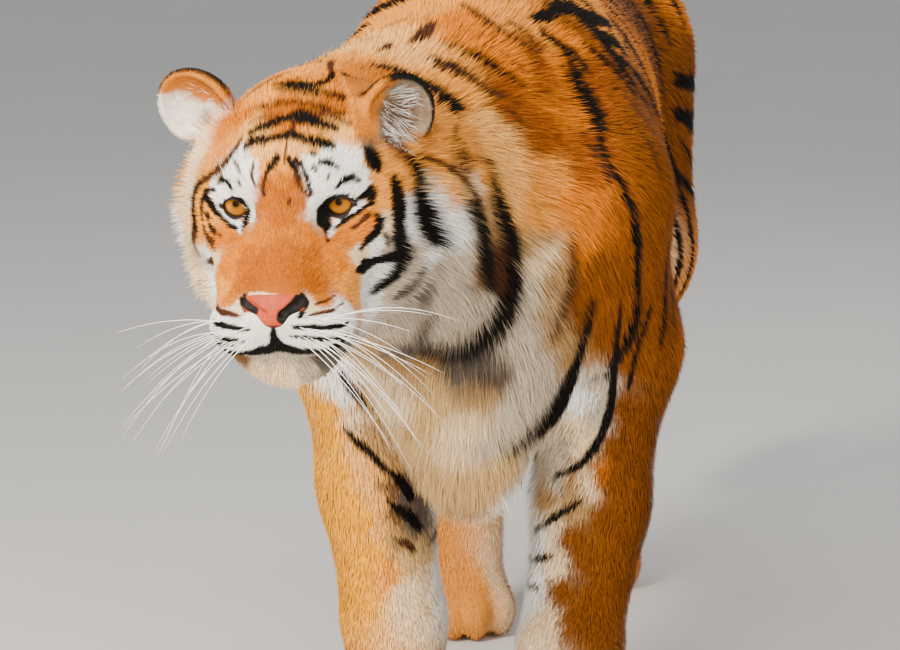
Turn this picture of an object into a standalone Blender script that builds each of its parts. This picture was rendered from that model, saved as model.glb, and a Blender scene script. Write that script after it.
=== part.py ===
"""A standing Amur tiger, life size, in the middle of a slow step.

The tiger faces -Y, its left side is +X and Z is up. The floor is Z = 0.
The outer surface is the outline of the coat. It is built as one blended form
and then parted into head, neck, trunk, legs and tail with thin cuts.
All sizes are in metres.
"""
import math

import bmesh
import bpy
import numpy as np
from mathutils import Matrix

# ------------------------------------------------------------------ sizes
CUT = 0.0003                 # clear gap left between two neighbouring pieces
CENTRING = (0.0355, -0.0440, 0.0)    # sets the origin under the middle of the whole
EYE_SPACING = 0.115          # from the middle of one eye to the other
EYE_RADIUS = 0.0185
EYE_DEPTH = 0.010            # middle of the eyeball behind the eye line
LID_OPENING = (0.0150, 0.0072)   # half width and half height

EYE_LINE = (-0.165, -1.030, 0.760)   # middle of the line between the eyes
HEAD_PITCH = 16.0            # degrees, nose down
HEAD_YAW = -2.0              # degrees, nose to the tiger's left
HEAD_ROLL = 2.5              # degrees, left side up
HEAD_BACK = 0.150            # the head is parted from the neck here
HEAD_FLOOR = -0.340          # clear air under the chin

BODY_GRID = 0.0105
HEAD_GRID = 0.0045
BODY_TRIANGLES = 2750
HEAD_TRIANGLES = 2050

# stations of the trunk: along, top, bottom, half width, sideways, widest height
TRUNK = {
    "neck base": (-0.68, 0.900, 0.520, 0.118, -0.030, 0.730),
    "shoulder":  (-0.56, 0.938, 0.450, 0.148, -0.010, 0.710),
    "withers":   (-0.42, 0.958, 0.415, 0.178, 0.000, 0.690),
    "ribs":      (-0.26, 0.934, 0.408, 0.198, 0.000, 0.670),
    "belly":     (-0.08, 0.914, 0.416, 0.196, 0.000, 0.660),
    "waist":     (0.12, 0.914, 0.442, 0.180, 0.000, 0.690),
    "loin":      (0.30, 0.928, 0.490, 0.164, 0.000, 0.720),
    "hips":      (0.48, 0.938, 0.540, 0.160, 0.000, 0.750),
    "buttock":   (0.62, 0.905, 0.590, 0.128, 0.000, 0.750),
    "rump end":  (0.70, 0.860, 0.680, 0.066, 0.000, 0.770),
}

FORELEGS = {
    "left": {"shoulder": (0.125, -0.58, 0.72), "elbow": (0.155, -0.50, 0.52),
             "wrist": (0.120, -0.655, 0.175), "toes": (0.108, -0.745, 0.036)},
    "right": {"shoulder": (-0.125, -0.56, 0.72), "elbow": (-0.152, -0.44, 0.51),
              "wrist": (-0.110, -0.425, 0.165), "toes": (-0.098, -0.480, 0.036)},
}
HIND_LEGS = {
    "left": {"hip": (0.095, 0.47, 0.75), "knee": (0.130, 0.37, 0.52),
             "hock": (0.085, 0.665, 0.265), "toes": (0.062, 0.600, 0.036)},
    "right": {"hip": (-0.095, 0.45, 0.75), "knee": (-0.138, 0.20, 0.51),
              "hock": (-0.098, 0.385, 0.225), "toes": (-0.085, 0.265, 0.036)},
}
FORE_PAW_HALF_WIDTH = 0.069
HIND_PAW_HALF_WIDTH = 0.062

# the tail hangs, then curls up clear of the floor: place and radius
TAIL = [
    (0.000, 0.62, 0.860, 0.078), (0.000, 0.70, 0.825, 0.062),
    (0.005, 0.785, 0.720, 0.050), (0.015, 0.835, 0.590, 0.045),
    (0.030, 0.875, 0.455, 0.043), (0.045, 0.945, 0.330, 0.042),
    (0.055, 1.045, 0.262, 0.041), (0.060, 1.150, 0.285, 0.038),
    (0.062, 1.215, 0.370, 0.030),
]

# ears in the head's frame: middle of the base, outward lean, outward turn
EARS = {
    "left": {"side": 1, "base": (0.100, 0.105, 0.030), "lean": 18.0, "turn": 27.0},
    "right": {"side": -1, "base": (-0.092, 0.105, 0.050), "lean": 42.0, "turn": 18.0},
}
EAR_HALF = (0.046, 0.026, 0.052)     # half width, half depth, half height
EAR_WALL = 0.008


# ------------------------------------------------- smooth blended solids
def unit(v):
    v = np.asarray(v, float)
    return v / np.linalg.norm(v)


def turned(pitch, yaw, roll):
    """Axes of a part turned by three angles, as the columns of a matrix."""
    p, w, r = (math.radians(a) for a in (pitch, yaw, roll))
    about_x = np.array([[1, 0, 0], [0, math.cos(p), -math.sin(p)], [0, math.sin(p), math.cos(p)]])
    about_z = np.array([[math.cos(w), -math.sin(w), 0], [math.sin(w), math.cos(w), 0], [0, 0, 1]])
    about_y = np.array([[math.cos(r), 0, -math.sin(r)], [0, 1, 0], [math.sin(r), 0, math.cos(r)]])
    return about_z @ about_x @ about_y


HEAD_AXES = turned(HEAD_PITCH, HEAD_YAW, HEAD_ROLL)


def to_head(points):
    return (points - np.array(EYE_LINE)) @ HEAD_AXES


def from_head(points):
    return np.asarray(points, float) @ HEAD_AXES.T + np.array(EYE_LINE)


def smooth_min(a, b, k):
    h = np.clip(k - np.abs(a - b), 0, None) / k
    return np.minimum(a, b) - h * h * k * 0.25


def ellipsoid(p, centre, radii, axes=None):
    q = p - np.asarray(centre, float)
    if axes is not None:
        q = q @ axes
    r = np.asarray(radii, float)
    k0 = np.sqrt(((q / r) ** 2).sum(1))
    k1 = np.sqrt(((q / r ** 2) ** 2).sum(1)) + 1e-9
    return np.where(k0 > 1e-3, k0 * (k0 - 1) / k1, -r.min())


def round_cone(p, a, b, radius_a, radius_b, wide=1.0):
    """Round bar from a to b, made wider or narrower from side to side."""
    scale = np.array([1 / wide, 1, 1])
    q = (p - a) * scale
    ab = (b - a) * scale
    t = np.clip(q @ ab / (ab @ ab), 0, 1)
    d = np.linalg.norm(q - t[:, None] * ab, axis=1) - (radius_a + (radius_b - radius_a) * t)
    return d * (1 + (min(wide, 1.0) - 1) * 0.5)


def curve(places, values, count=400):
    """Smooth curve through values at places, as a table."""
    x, y = np.asarray(places, float), np.asarray(values, float)
    slope = np.gradient(y, x)
    at = np.linspace(x[0], x[-1], count)
    i = np.clip(np.searchsorted(x, at, "right") - 1, 0, len(x) - 2)
    h = x[i + 1] - x[i]
    t = (at - x[i]) / h
    out = ((2 * t**3 - 3 * t**2 + 1) * y[i] + (t**3 - 2 * t**2 + t) * h * slope[i]
           + (-2 * t**3 + 3 * t**2) * y[i + 1] + (t**3 - t**2) * h * slope[i + 1])
    return at, out


STATIONS = np.array(list(TRUNK.values()))
TRUNK_CURVES = [curve(STATIONS[:, 0], STATIONS[:, i]) for i in range(1, 6)]


def trunk_field(p):
    first, last = STATIONS[0, 0], STATIONS[-1, 0]
    y = np.clip(p[:, 1], first, last)
    top, bottom, half, mid, widest = (np.interp(y, *c) for c in TRUNK_CURVES)
    x, z = p[:, 0] - mid, p[:, 2] - widest
    tall = np.where(z > 0, top - widest, widest - bottom)
    k0 = np.sqrt((x / half) ** 2 + (z / tall) ** 2)
    k1 = np.sqrt((x / half**2) ** 2 + (z / tall**2) ** 2) + 1e-9
    d = np.where(k0 > 1e-3, k0 * (k0 - 1) / k1, -half)
    past = np.maximum(np.maximum(first - p[:, 1], p[:, 1] - last), 0)
    return np.where(past > 0, np.hypot(np.maximum(d, 0), past), d)


class Form:
    """Distance to a blend of masses, worked out at a set of points."""

    def __init__(self, points):
        self.p = points
        self.d = np.full(len(points), 1.0)

    def blend(self, make, centre, reach, k, cut=False):
        near = np.flatnonzero((np.abs(self.p - np.asarray(centre)) < reach + k + 0.10).all(1))
        if len(near) == 0:
            return
        d = make(self.p[near])
        if cut:
            self.d[near] = -smooth_min(-self.d[near], d, k)
        else:
            self.d[near] = smooth_min(self.d[near], d, k)

    def mass(self, centre, radii, k=0.02, axes=None, cut=False):
        self.blend(lambda q: ellipsoid(q, centre, radii, axes), centre, max(radii), k, cut)

    def limb(self, a, b, radius_a, radius_b, k=0.02, wide=1.0):
        a, b = np.asarray(a, float), np.asarray(b, float)
        reach = np.linalg.norm(b - a) / 2 + max(radius_a, radius_b) * max(1, wide)
        self.blend(lambda q: round_cone(q, a, b, radius_a, radius_b, wide), (a + b) / 2, reach, k)


# ------------------------------------------------------------- the animal
def add_head(f):
    """Skull, cheeks, muzzle, chin and ruff, in the head's frame."""
    f.mass((0, 0.085, 0.000), (0.102, 0.110, 0.084), .03)
    f.mass((0, 0.036, 0.020), (0.082, 0.058, 0.044), .03)
    f.limb((0, 0.012, -0.004), (0, -0.124, -0.067), 0.033, 0.028, .016, wide=1.35)
    f.mass((0, -0.085, -0.086), (0.062, 0.063, 0.046), .02)
    f.mass((0, -0.086, -0.137), (0.042, 0.044, 0.040), .026)
    f.mass((0, -0.020, -0.136), (0.057, 0.078, 0.040), .03)
    for s in (1, -1):
        f.mass((s * 0.037, -0.109, -0.093), (0.042, 0.045, 0.033), .012)
        f.mass((s * 0.051, -0.072, -0.104), (0.031, 0.055, 0.034), .014)
        f.limb((s * 0.028, -0.075, -0.132), (s * 0.075, 0.060, -0.108), 0.031, 0.048, .025)
        f.mass((s * 0.068, 0.028, -0.040), (0.046, 0.056, 0.040), .03)
        f.mass((s * 0.045, -0.030, -0.062), (0.038, 0.052, 0.036), .025)
        f.mass((s * 0.080, 0.085, -0.050), (0.052, 0.070, 0.075), .03)
        f.mass((s * 0.090, 0.112, -0.052), (0.058, 0.062, 0.082), .03)
        f.mass((s * 0.076, 0.100, -0.132), (0.052, 0.064, 0.054), .03)
    f.mass((0.128, 0.165, -0.070), (0.060, 0.070, 0.085), .04)
    for s in (1, -1):
        f.mass((s * 0.060, -0.028, -0.003), (0.024, 0.018, 0.016), .016, cut=True)
        f.mass((s * EYE_SPACING / 2, 0.009, 0.000), (0.0222, 0.0222, 0.0222), .008)
    for s in (1, -1):
        f.mass((s * 0.026, -0.156, -0.063), (0.011, 0.014, 0.006), .004, cut=True)


def ear_axes(ear):
    lean, turn, s = math.radians(ear["lean"]), math.radians(ear["turn"]), ear["side"]
    up = np.array([s * math.sin(lean), 0.10, math.cos(lean)])
    up = unit(up)
    opening = np.array([s * math.sin(turn), -math.cos(turn), 0.10])
    opening = unit(opening - (opening @ up) * up)
    return np.stack([np.cross(up, opening), opening, up], 1)


def add_ear(f, ear):
    axes = ear_axes(ear)
    width, depth, height = EAR_HALF
    base = np.array(ear["base"])
    f.mass(base + axes @ (0, 0, 0.030), EAR_HALF, .004, axes)
    inner = (width - EAR_WALL, depth + 0.004, height - EAR_WALL * 0.7)
    f.mass(base + axes @ (0, 0.022, 0.034), inner, .006, axes, cut=True)


def add_paw(f, joint, toes, joint_radius, half):
    """Foot down from the joint: heel pad and four toes, the soles at the floor."""
    x, y, z = toes
    side = np.sign(x)
    heel = np.array([x + 0.004 * side, y + 0.055, 0.044])
    f.limb(joint, heel + (0, -0.012, 0.024), joint_radius, 0.050, .03, wide=1.05)
    f.mass((x, y + 0.030, 0.044), (half * 0.93, 0.062, 0.048), .02)
    f.mass((x, y + 0.045, 0.016), (half * 0.64, 0.046, 0.024), .01)
    for across, ahead in ((-0.72, 0.012), (-0.26, -0.016), (0.26, -0.014), (0.72, 0.018)):
        toe = np.array([x + across * half, y + ahead, 0.033])
        f.mass(toe, (0.0225, 0.039, 0.033), .008)
        f.mass(toe + (0, -0.012, -0.019), (0.015, 0.021, 0.018), .006)


def add_foreleg(f, leg):
    shoulder, elbow, wrist = (np.array(leg[k]) for k in ("shoulder", "elbow", "wrist"))
    middle = elbow + (wrist - elbow) * 0.5
    f.limb(shoulder, elbow, 0.094, 0.084, .05)
    f.limb(shoulder + (0, 0.14, 0.04), elbow + (0, 0.040, 0.0), 0.084, 0.070, .05)
    f.limb(elbow, middle, 0.086, 0.074, .03, wide=0.93)
    f.limb(middle, wrist, 0.074, 0.061, .03, wide=0.98)
    add_paw(f, wrist, leg["toes"], 0.060, FORE_PAW_HALF_WIDTH)


def add_hind_leg(f, leg):
    hip, knee, hock = (np.array(leg[k]) for k in ("hip", "knee", "hock"))
    f.limb(hip, knee, 0.135, 0.098, .06, wide=0.80)
    f.limb(hip + (0, 0.11, -0.02), knee + (hock - knee) * 0.45 + (0, 0.060, 0.02), 0.112, 0.074, .06, wide=0.8)
    f.limb(knee + (0, -0.11, 0.07), knee, 0.055, 0.076, .06, wide=0.6)
    f.limb(knee, hock + (0, -0.018, 0.01), 0.094, 0.052, .035, wide=0.82)
    f.limb(knee + (0, 0.09, -0.02), hock + (0, 0.018, 0.02), 0.076, 0.037, .03, wide=0.75)
    add_paw(f, hock, leg["toes"], 0.051, HIND_PAW_HALF_WIDTH)


def tail_line(count=24):
    places = np.array(TAIL)
    step = np.linalg.norm(np.diff(places[:, :3], axis=0), axis=1)
    along = np.concatenate([[0], np.cumsum(step)])
    return np.stack([curve(along, places[:, i], count)[1] for i in range(4)], 1)


def add_body(f):
    f.blend(trunk_field, (0, 0, 0.68), 1.0, .02)
    # neck and throat
    f.limb((0, -0.50, 0.750), (-0.145, -0.890, 0.768), 0.188, 0.132, .06, wide=0.90)
    f.limb((0, -0.56, 0.650), (-0.135, -0.870, 0.682), 0.165, 0.108, .05, wide=0.97)
    # breast, with the long hair that hangs from it
    f.mass((-0.012, -0.640, 0.580), (0.128, 0.095, 0.165), .06)
    f.mass((-0.005, -0.590, 0.450), (0.090, 0.090, 0.130), .06)
    for s in (1, -1):
        f.limb((s * 0.060, -0.400, 0.880), (s * 0.132, -0.570, 0.720), 0.070, 0.095, .08)
    for leg in FORELEGS.values():
        add_foreleg(f, leg)
    for leg in HIND_LEGS.values():
        add_hind_leg(f, leg)
    line = tail_line()
    for a, b in zip(line[:-1], line[1:]):
        f.limb(a[:3], b[:3], a[3], b[3], .02)


def tiger_field(points):
    """Distance to the outline of the coat: negative inside."""
    f = Form(points)
    add_body(f)
    at_head = to_head(points)
    near = np.flatnonzero((np.abs(at_head) < 0.45).all(1))
    head = Form(at_head[near])
    add_head(head)
    f.d[near] = smooth_min(f.d[near], head.d, 0.05)
    for ear in EARS.values():
        e = Form(at_head[near])
        add_ear(e, ear)
        f.d[near] = smooth_min(f.d[near], e.d, 0.012)
    return f.d


def head_only(points):
    return -smooth_min(-tiger_field(points), HEAD_BACK + 0.02 - to_head(points)[:, 1], 0.012)


def body_only(points):
    at_head = to_head(points)
    block = np.maximum(at_head[:, 1] - HEAD_BACK + 0.03, HEAD_FLOOR + 0.02 - at_head[:, 2])
    return -smooth_min(-tiger_field(points), block, 0.015)


# -------------------------------------------------------- from form to mesh
def softened(values):
    """Grid values averaged with their neighbours, which rounds knife edges."""
    for axis in range(3):
        first, last = np.take(values, [0], axis), np.take(values, [-1], axis)
        before = np.concatenate([first, np.delete(values, -1, axis)], axis)
        after = np.concatenate([np.delete(values, 0, axis), last], axis)
        values = values * 0.5 + (before + after) * 0.25
    return values


def sampled(field, low, high, step, ratio=4):
    """The field on a grid, in full detail only near the surface."""
    low = np.asarray(low, float)
    n = np.ceil((np.asarray(high) - low) / (step * ratio)).astype(int) * ratio
    axes = [low[i] + step * np.arange(n[i] + 1) for i in range(3)]
    coarse = np.stack(np.meshgrid(*[a[::ratio] for a in axes], indexing="ij"), -1)
    values = field(coarse.reshape(-1, 3)).reshape(coarse.shape[:3])
    for axis in range(3):
        where = np.arange(n[axis] + 1) / ratio
        i = np.minimum(where.astype(int), values.shape[axis] - 2)
        t = (where - i).reshape([-1 if k == axis else 1 for k in range(3)])
        values = np.take(values, i, axis) * (1 - t) + np.take(values, i + 1, axis) * t
    near = np.abs(values) < 2.5 * step * ratio
    places = np.argwhere(near)
    fine = np.empty(len(places))
    for start in range(0, len(places), 300000):
        fine[start:start + 300000] = field(low + places[start:start + 300000] * step)
    values[near] = fine
    return softened(values)


def surface(values, low, step):
    """Closed mesh of four-sided faces where the field is zero."""
    inside = values < 0
    n = np.array(values.shape) - 1
    count = np.zeros(n, int)
    for i in (0, 1):
        for j in (0, 1):
            for k in (0, 1):
                count += inside[i:i + n[0], j:j + n[1], k:k + n[2]]
    cells = np.argwhere((count > 0) & (count < 8))
    number = -np.ones(n, int)
    number[tuple(cells.T)] = np.arange(len(cells))
    total, hits = np.zeros((len(cells), 3)), np.zeros(len(cells))
    for axis in range(3):
        b, c = [a for a in range(3) if a != axis]
        along = np.eye(3, dtype=int)[axis]
        for db in (0, 1):
            for dc in (0, 1):
                corner = np.zeros(3, int)
                corner[b], corner[c] = db, dc
                p0 = cells + corner
                v0 = values[tuple(p0.T)]
                v1 = values[tuple((p0 + along).T)]
                cross = (v0 < 0) != (v1 < 0)
                t = np.where(cross, v0 / np.where(cross, v0 - v1, 1), 0)
                total[cross] += p0[cross] + t[cross, None] * along
                hits[cross] += 1
    verts = np.asarray(low) + total / hits[:, None] * step
    faces = []
    for axis in range(3):
        b, c = [(1, 2), (2, 0), (0, 1)][axis]
        before = [slice(None)] * 3
        after = [slice(None)] * 3
        before[axis], after[axis] = slice(0, -1), slice(1, None)
        first, second = inside[tuple(before)], inside[tuple(after)]
        at = np.argwhere(first != second)
        eb, ec = np.eye(3, dtype=int)[b], np.eye(3, dtype=int)[c]
        ring = [at - eb - ec, at - ec, at, at - eb]
        quads = np.stack([number[tuple(r.T)] for r in ring], 1)
        back = ~first[tuple(at.T)]
        quads[back] = quads[back][:, ::-1]
        faces.append(quads)
    return verts, np.concatenate(faces)


# ------------------------------------------------------------ Blender side
def material(name, colour, roughness):
    m = bpy.data.materials.new(name)
    m.use_nodes = True
    shader = m.node_tree.nodes["Principled BSDF"]
    shader.inputs["Base Color"].default_value = (*colour, 1.0)
    shader.inputs["Roughness"].default_value = roughness
    shader.inputs["Metallic"].default_value = 0.0
    m.diffuse_color = (*colour, 1.0)
    return m


def add_object(name, verts, faces, mat=None):
    mesh = bpy.data.meshes.new(name)
    mesh.from_pydata([tuple(v) for v in verts], [], [tuple(int(i) for i in f) for f in faces])
    mesh.validate()
    if mat is not None:
        mesh.materials.append(mat)
    obj = bpy.data.objects.new(name, mesh)
    bpy.context.scene.collection.objects.link(obj)
    return obj


def applied(obj):
    """The object's mesh with its modifiers worked in."""
    bpy.context.view_layer.update()
    shape = obj.evaluated_get(bpy.context.evaluated_depsgraph_get())
    mesh = bpy.data.meshes.new_from_object(shape)
    obj.modifiers.clear()
    obj.data = mesh


def thinned(obj, triangles):
    bm = bmesh.new()
    bm.from_mesh(obj.data)
    bmesh.ops.triangulate(bm, faces=bm.faces)
    bm.to_mesh(obj.data)
    bm.free()
    m = obj.modifiers.new("thin", "DECIMATE")
    m.ratio = triangles / len(obj.data.polygons)
    applied(obj)


def touching_edges(obj):
    """Middles of the edges where the skin of the form touches itself."""
    bm = bmesh.new()
    bm.from_mesh(obj.data)
    found = [(e.verts[0].co + e.verts[1].co) / 2 for e in bm.edges if len(e.link_faces) != 2]
    bm.free()
    return np.array(found)


def formed(name, field, low, high, step, triangles):
    """Closed mesh of a field, softened where two walls would touch."""
    values = sampled(field, low, high, step)
    for attempt in range(12):
        verts, faces = surface(values, low, step)
        obj = add_object(name, verts, faces)
        touching = touching_edges(obj)
        if len(touching) == 0:
            break
        soft = softened(softened(values))
        for place in np.round((touching - low) / step).astype(int):
            around = tuple(slice(max(i - 2, 0), i + 3) for i in place)
            values[around] = soft[around]
        bpy.data.objects.remove(obj)
    thinned(obj, triangles)
    return obj


def boolean(obj, cutter, operation):
    m = obj.modifiers.new("cut", "BOOLEAN")
    m.operation = operation
    m.solver = "EXACT"
    m.object = cutter
    applied(obj)


def prism(corners, low, high, axes, origin):
    """Straight-sided block: corners across two axes, low to high on the third."""
    n = len(corners)
    verts = [(*c, low) for c in corners] + [(*c, high) for c in corners]
    verts = np.array(verts) @ np.asarray(axes, float) + origin
    faces = [list(range(n))[::-1], list(range(n, 2 * n))]
    faces += [[i, (i + 1) % n, n + (i + 1) % n, n + i] for i in range(n)]
    cutter = add_object("cutter", verts, faces)
    cutter.hide_render = True
    cutter.display_type = "WIRE"
    bm = bmesh.new()
    bm.from_mesh(cutter.data)
    bmesh.ops.recalc_face_normals(bm, faces=bm.faces)
    bm.to_mesh(cutter.data)
    bm.free()
    return cutter


def block(x0, x1, y0, y1, z0, z1, lean=0.0, grow=0.0):
    """Box whose side walls move by lean over its height."""
    x0, x1, y0, y1, z0, z1 = (v + d * grow for v, d in zip((x0, x1, y0, y1, z0, z1), (-1, 1, -1, 1, -1, 1)))
    corners = [(x0, z0), (x1, z0), (x1 + lean, z1), (x0 + lean, z1)]
    axes = [(1, 0, 0), (0, 0, 1), (0, 1, 0)]
    return prism(corners, y0, y1, axes, (0, 0, 0))


def head_prism(corners, low, high, grow=0.0):
    """Block with its corners across the face and its length front to back."""
    middle = np.mean(corners, 0)
    out = [np.array(c) + unit(np.array(c) - middle) * grow for c in corners]
    axes = np.stack([HEAD_AXES[:, 0], HEAD_AXES[:, 2], HEAD_AXES[:, 1]])
    return prism([tuple(c) for c in out], low, high + grow, axes, np.array(EYE_LINE))


def part_off(whole, name, make_cutter):
    """Cut a named piece out of whole, leaving a thin gap all round it."""
    piece = whole.copy()
    piece.data = whole.data.copy()
    piece.name = name
    bpy.context.scene.collection.objects.link(piece)
    tight, loose = make_cutter(0.0), make_cutter(CUT)
    boolean(piece, tight, "INTERSECT")
    boolean(whole, loose, "DIFFERENCE")
    for c in (tight, loose):
        bpy.data.objects.remove(c)
    return piece


def main_body(obj):
    """Drop specks: keep only the largest connected piece."""
    bm = bmesh.new()
    bm.from_mesh(obj.data)
    bm.verts.ensure_lookup_table()
    left = set(bm.verts)
    groups = []
    while left:
        group, todo = set(), [next(iter(left))]
        while todo:
            v = todo.pop()
            if v in group:
                continue
            group.add(v)
            todo += [e.other_vert(v) for e in v.link_edges if e.other_vert(v) not in group]
        groups.append(group)
        left -= group
    keep = max(groups, key=len)
    bmesh.ops.delete(bm, geom=[v for v in bm.verts if v not in keep], context="VERTS")
    bmesh.ops.remove_doubles(bm, verts=bm.verts, dist=0.00002)
    bm.to_mesh(obj.data)
    bm.free()


def finish(obj, mat):
    main_body(obj)
    mesh = obj.data
    mesh.transform(Matrix.Translation(CENTRING))
    mesh.name = obj.name
    mesh.materials.clear()
    mesh.materials.append(mat)
    for face in mesh.polygons:
        face.use_smooth = True
        face.material_index = 0
    mesh.set_sharp_from_angle(angle=math.radians(45))


def ball(name, centre, radius, fineness):
    mesh = bpy.data.meshes.new(name)
    bm = bmesh.new()
    bmesh.ops.create_icosphere(bm, subdivisions=fineness, radius=radius, matrix=Matrix.Translation(centre))
    bm.to_mesh(mesh)
    bm.free()
    obj = bpy.data.objects.new(name, mesh)
    bpy.context.scene.collection.objects.link(obj)
    return obj


def eye_centre(s):
    return from_head([s * EYE_SPACING / 2, EYE_DEPTH, 0.0])


def add_eyes(head, mat):
    """Eyeballs in sockets, seen through almond openings between the lids."""
    for side, s in (("left", 1), ("right", -1)):
        centre = eye_centre(s)
        socket = ball("cutter", centre, EYE_RADIUS + CUT + 0.0002, 3)
        boolean(head, socket, "DIFFERENCE")
        bpy.data.objects.remove(socket)
        half_width, half_height = LID_OPENING
        corners = []
        for i in range(16):
            a = 2 * math.pi * i / 16
            x = half_width * math.cos(a)
            z = half_height * math.sin(a) * (1 - 0.25 * math.cos(a) ** 2) + 0.08 * x * s
            corners.append((s * EYE_SPACING / 2 + x, z))
        opening = head_prism(corners, -0.05, 0.0)
        boolean(head, opening, "DIFFERENCE")
        bpy.data.objects.remove(opening)
        finish(ball("eye_" + side, centre, EYE_RADIUS, 3), mat)


def build():
    for obj in list(bpy.data.objects):
        bpy.data.objects.remove(obj, do_unlink=True)
    orange = material("coat_orange", (0.52, 0.21, 0.055), 0.8)
    cream = material("coat_cream", (0.72, 0.60, 0.45), 0.8)
    pink = material("nose_leather", (0.62, 0.26, 0.20), 0.45)
    amber = material("eye", (0.42, 0.24, 0.05), 0.08)

    body = formed("body", body_only, (-0.40, -1.10, -0.055), (0.34, 1.33, 1.02), BODY_GRID, BODY_TRIANGLES)
    head = formed("head", head_only, (-0.46, -1.30, 0.36), (0.16, -0.72, 1.00), HEAD_GRID, HEAD_TRIANGLES)

    # trim head and body back to one plane with a thin gap between them
    outline = [(-0.6, HEAD_FLOOR), (0.6, HEAD_FLOOR), (0.6, 0.6), (-0.6, 0.6)]
    for obj, gap, operation in ((head, -CUT / 2, "INTERSECT"), (body, CUT / 2, "DIFFERENCE")):
        cutter = head_prism(outline, -0.6, HEAD_BACK + gap)
        boolean(obj, cutter, operation)
        bpy.data.objects.remove(cutter)

    # the soles are flat on the floor
    floor = block(-1, 1, -2, 2, -0.5, 0)
    boolean(body, floor, "DIFFERENCE")
    bpy.data.objects.remove(floor)

    def off(whole, name, mat, *box, lean=0.0):
        piece = part_off(whole, name, lambda grow: block(*box, lean=lean, grow=grow))
        finish(piece, mat)

    # legs, from the paws upward
    off(body, "fore_paw_left", cream, 0.0, 0.4, -0.95, -0.53, -0.3, 0.150)
    off(body, "forearm_left", orange, 0.020, 0.5, -0.95, -0.33, -0.2, 0.420, lean=0.045)
    off(body, "upper_arm_left", orange, 0.085, 0.5, -0.95, -0.33, 0.2, 0.740)
    off(body, "fore_paw_right", cream, -0.4, 0.0, -0.70, -0.25, -0.3, 0.145)
    off(body, "forearm_right", orange, -0.5, -0.015, -0.80, -0.30, -0.2, 0.420, lean=-0.045)
    off(body, "upper_arm_right", orange, -0.5, -0.085, -0.80, -0.30, 0.2, 0.740)
    off(body, "hind_paw_left", cream, -0.03, 0.4, 0.46, 0.75, -0.3, 0.170)
    off(body, "shank_left", orange, -0.020, 0.5, 0.20, 0.80, -0.2, 0.455, lean=0.060)
    off(body, "thigh_left", orange, 0.040, 0.5, 0.14, 0.80, 0.2, 0.700)
    off(body, "hind_paw_right", cream, -0.4, 0.02, 0.10, 0.45, -0.3, 0.160)
    off(body, "shank_right", orange, -0.5, -0.005, 0.02, 0.70, -0.2, 0.440, lean=-0.050)
    off(body, "thigh_right", orange, -0.5, -0.040, -0.02, 0.80, 0.2, 0.700)
    # tail, from the tip
    off(body, "tail_tip", orange, -0.3, 0.3, 1.03, 2.0, -0.2, 0.8)
    off(body, "tail_middle", orange, -0.3, 0.3, 0.74, 2.0, -0.2, 0.540)
    off(body, "tail_base", orange, -0.3, 0.3, 0.745, 2.0, -0.2, 1.2)
    # trunk
    off(body, "hindquarters", orange, -0.5, 0.5, 0.22, 2.0, -0.2, 1.3)
    off(body, "belly", orange, -0.5, 0.5, -0.24, 2.0, -0.2, 1.3)
    off(body, "neck", orange, -0.5, 0.5, -2.0, -0.70, -0.2, 1.3)
    body.name = "chest"
    finish(body, cream)

    # lower jaw, below the lip line
    lips = [(0, -0.109), (0.030, -0.117), (0.060, -0.134), (0.060, -0.30), (-0.060, -0.30),
            (-0.060, -0.134), (-0.030, -0.117)]
    finish(part_off(head, "lower_jaw", lambda grow: head_prism(lips, -0.3, -0.030, grow)), cream)
    pad = [(-0.038, -0.053), (-0.033, -0.067), (-0.021, -0.074), (-0.008, -0.084), (0.008, -0.084),
           (0.021, -0.074), (0.033, -0.067), (0.038, -0.053), (0.022, -0.046), (0, -0.050), (-0.022, -0.046)]
    finish(part_off(head, "nose", lambda grow: head_prism(pad, -0.3, -0.118, grow)), pink)
    add_eyes(head, amber)
    for side, ear in EARS.items():
        axes = HEAD_AXES @ ear_axes(ear)
        middle = from_head(ear["base"])

        def ear_cutter(grow):
            x, y = 0.075 + grow, 0.06 + grow
            corners = [(-x, -y), (x, -y), (x, y), (-x, y)]
            return prism(corners, 0.012 - grow, 0.2, axes.T, middle)

        finish(part_off(head, "ear_" + side, ear_cutter), orange)
    finish(head, orange)


build()
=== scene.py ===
"""Looks of the life-size walking tiger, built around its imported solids.

The outline of the coat is worked out again from the same sizes as the solids.
A finer skin lies inside it by the depth of the coat, and tufts of fur grow
from that skin to the outline. The tiger faces -Y, its left side is +X.
All sizes are in metres, except in the charts of markings and guides below,
which are in centimetres.
"""

import math

import bmesh
import bpy
import numpy as np
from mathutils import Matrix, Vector
from mathutils.bvhtree import BVHTree


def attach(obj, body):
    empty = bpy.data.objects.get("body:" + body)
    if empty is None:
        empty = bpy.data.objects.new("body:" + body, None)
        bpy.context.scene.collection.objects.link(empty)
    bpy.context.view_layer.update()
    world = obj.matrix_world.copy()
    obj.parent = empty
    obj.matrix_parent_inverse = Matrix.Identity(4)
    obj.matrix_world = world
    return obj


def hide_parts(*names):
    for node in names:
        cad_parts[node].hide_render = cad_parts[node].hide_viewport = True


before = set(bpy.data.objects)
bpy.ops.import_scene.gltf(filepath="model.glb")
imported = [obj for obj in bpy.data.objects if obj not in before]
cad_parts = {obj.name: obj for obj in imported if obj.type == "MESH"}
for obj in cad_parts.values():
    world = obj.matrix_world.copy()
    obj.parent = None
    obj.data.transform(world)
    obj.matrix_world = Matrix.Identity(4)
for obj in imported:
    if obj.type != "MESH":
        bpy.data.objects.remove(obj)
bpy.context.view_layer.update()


# ------------------------------------------------------------------ sizes
CENTRING = (0.0355, -0.0440, 0.0)    # sets the origin under the middle of the whole
EYE_SPACING = 0.115          # from the middle of one eye to the other
EYE_RADIUS = 0.0185
EYE_DEPTH = 0.010            # middle of the eyeball behind the eye line

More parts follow.
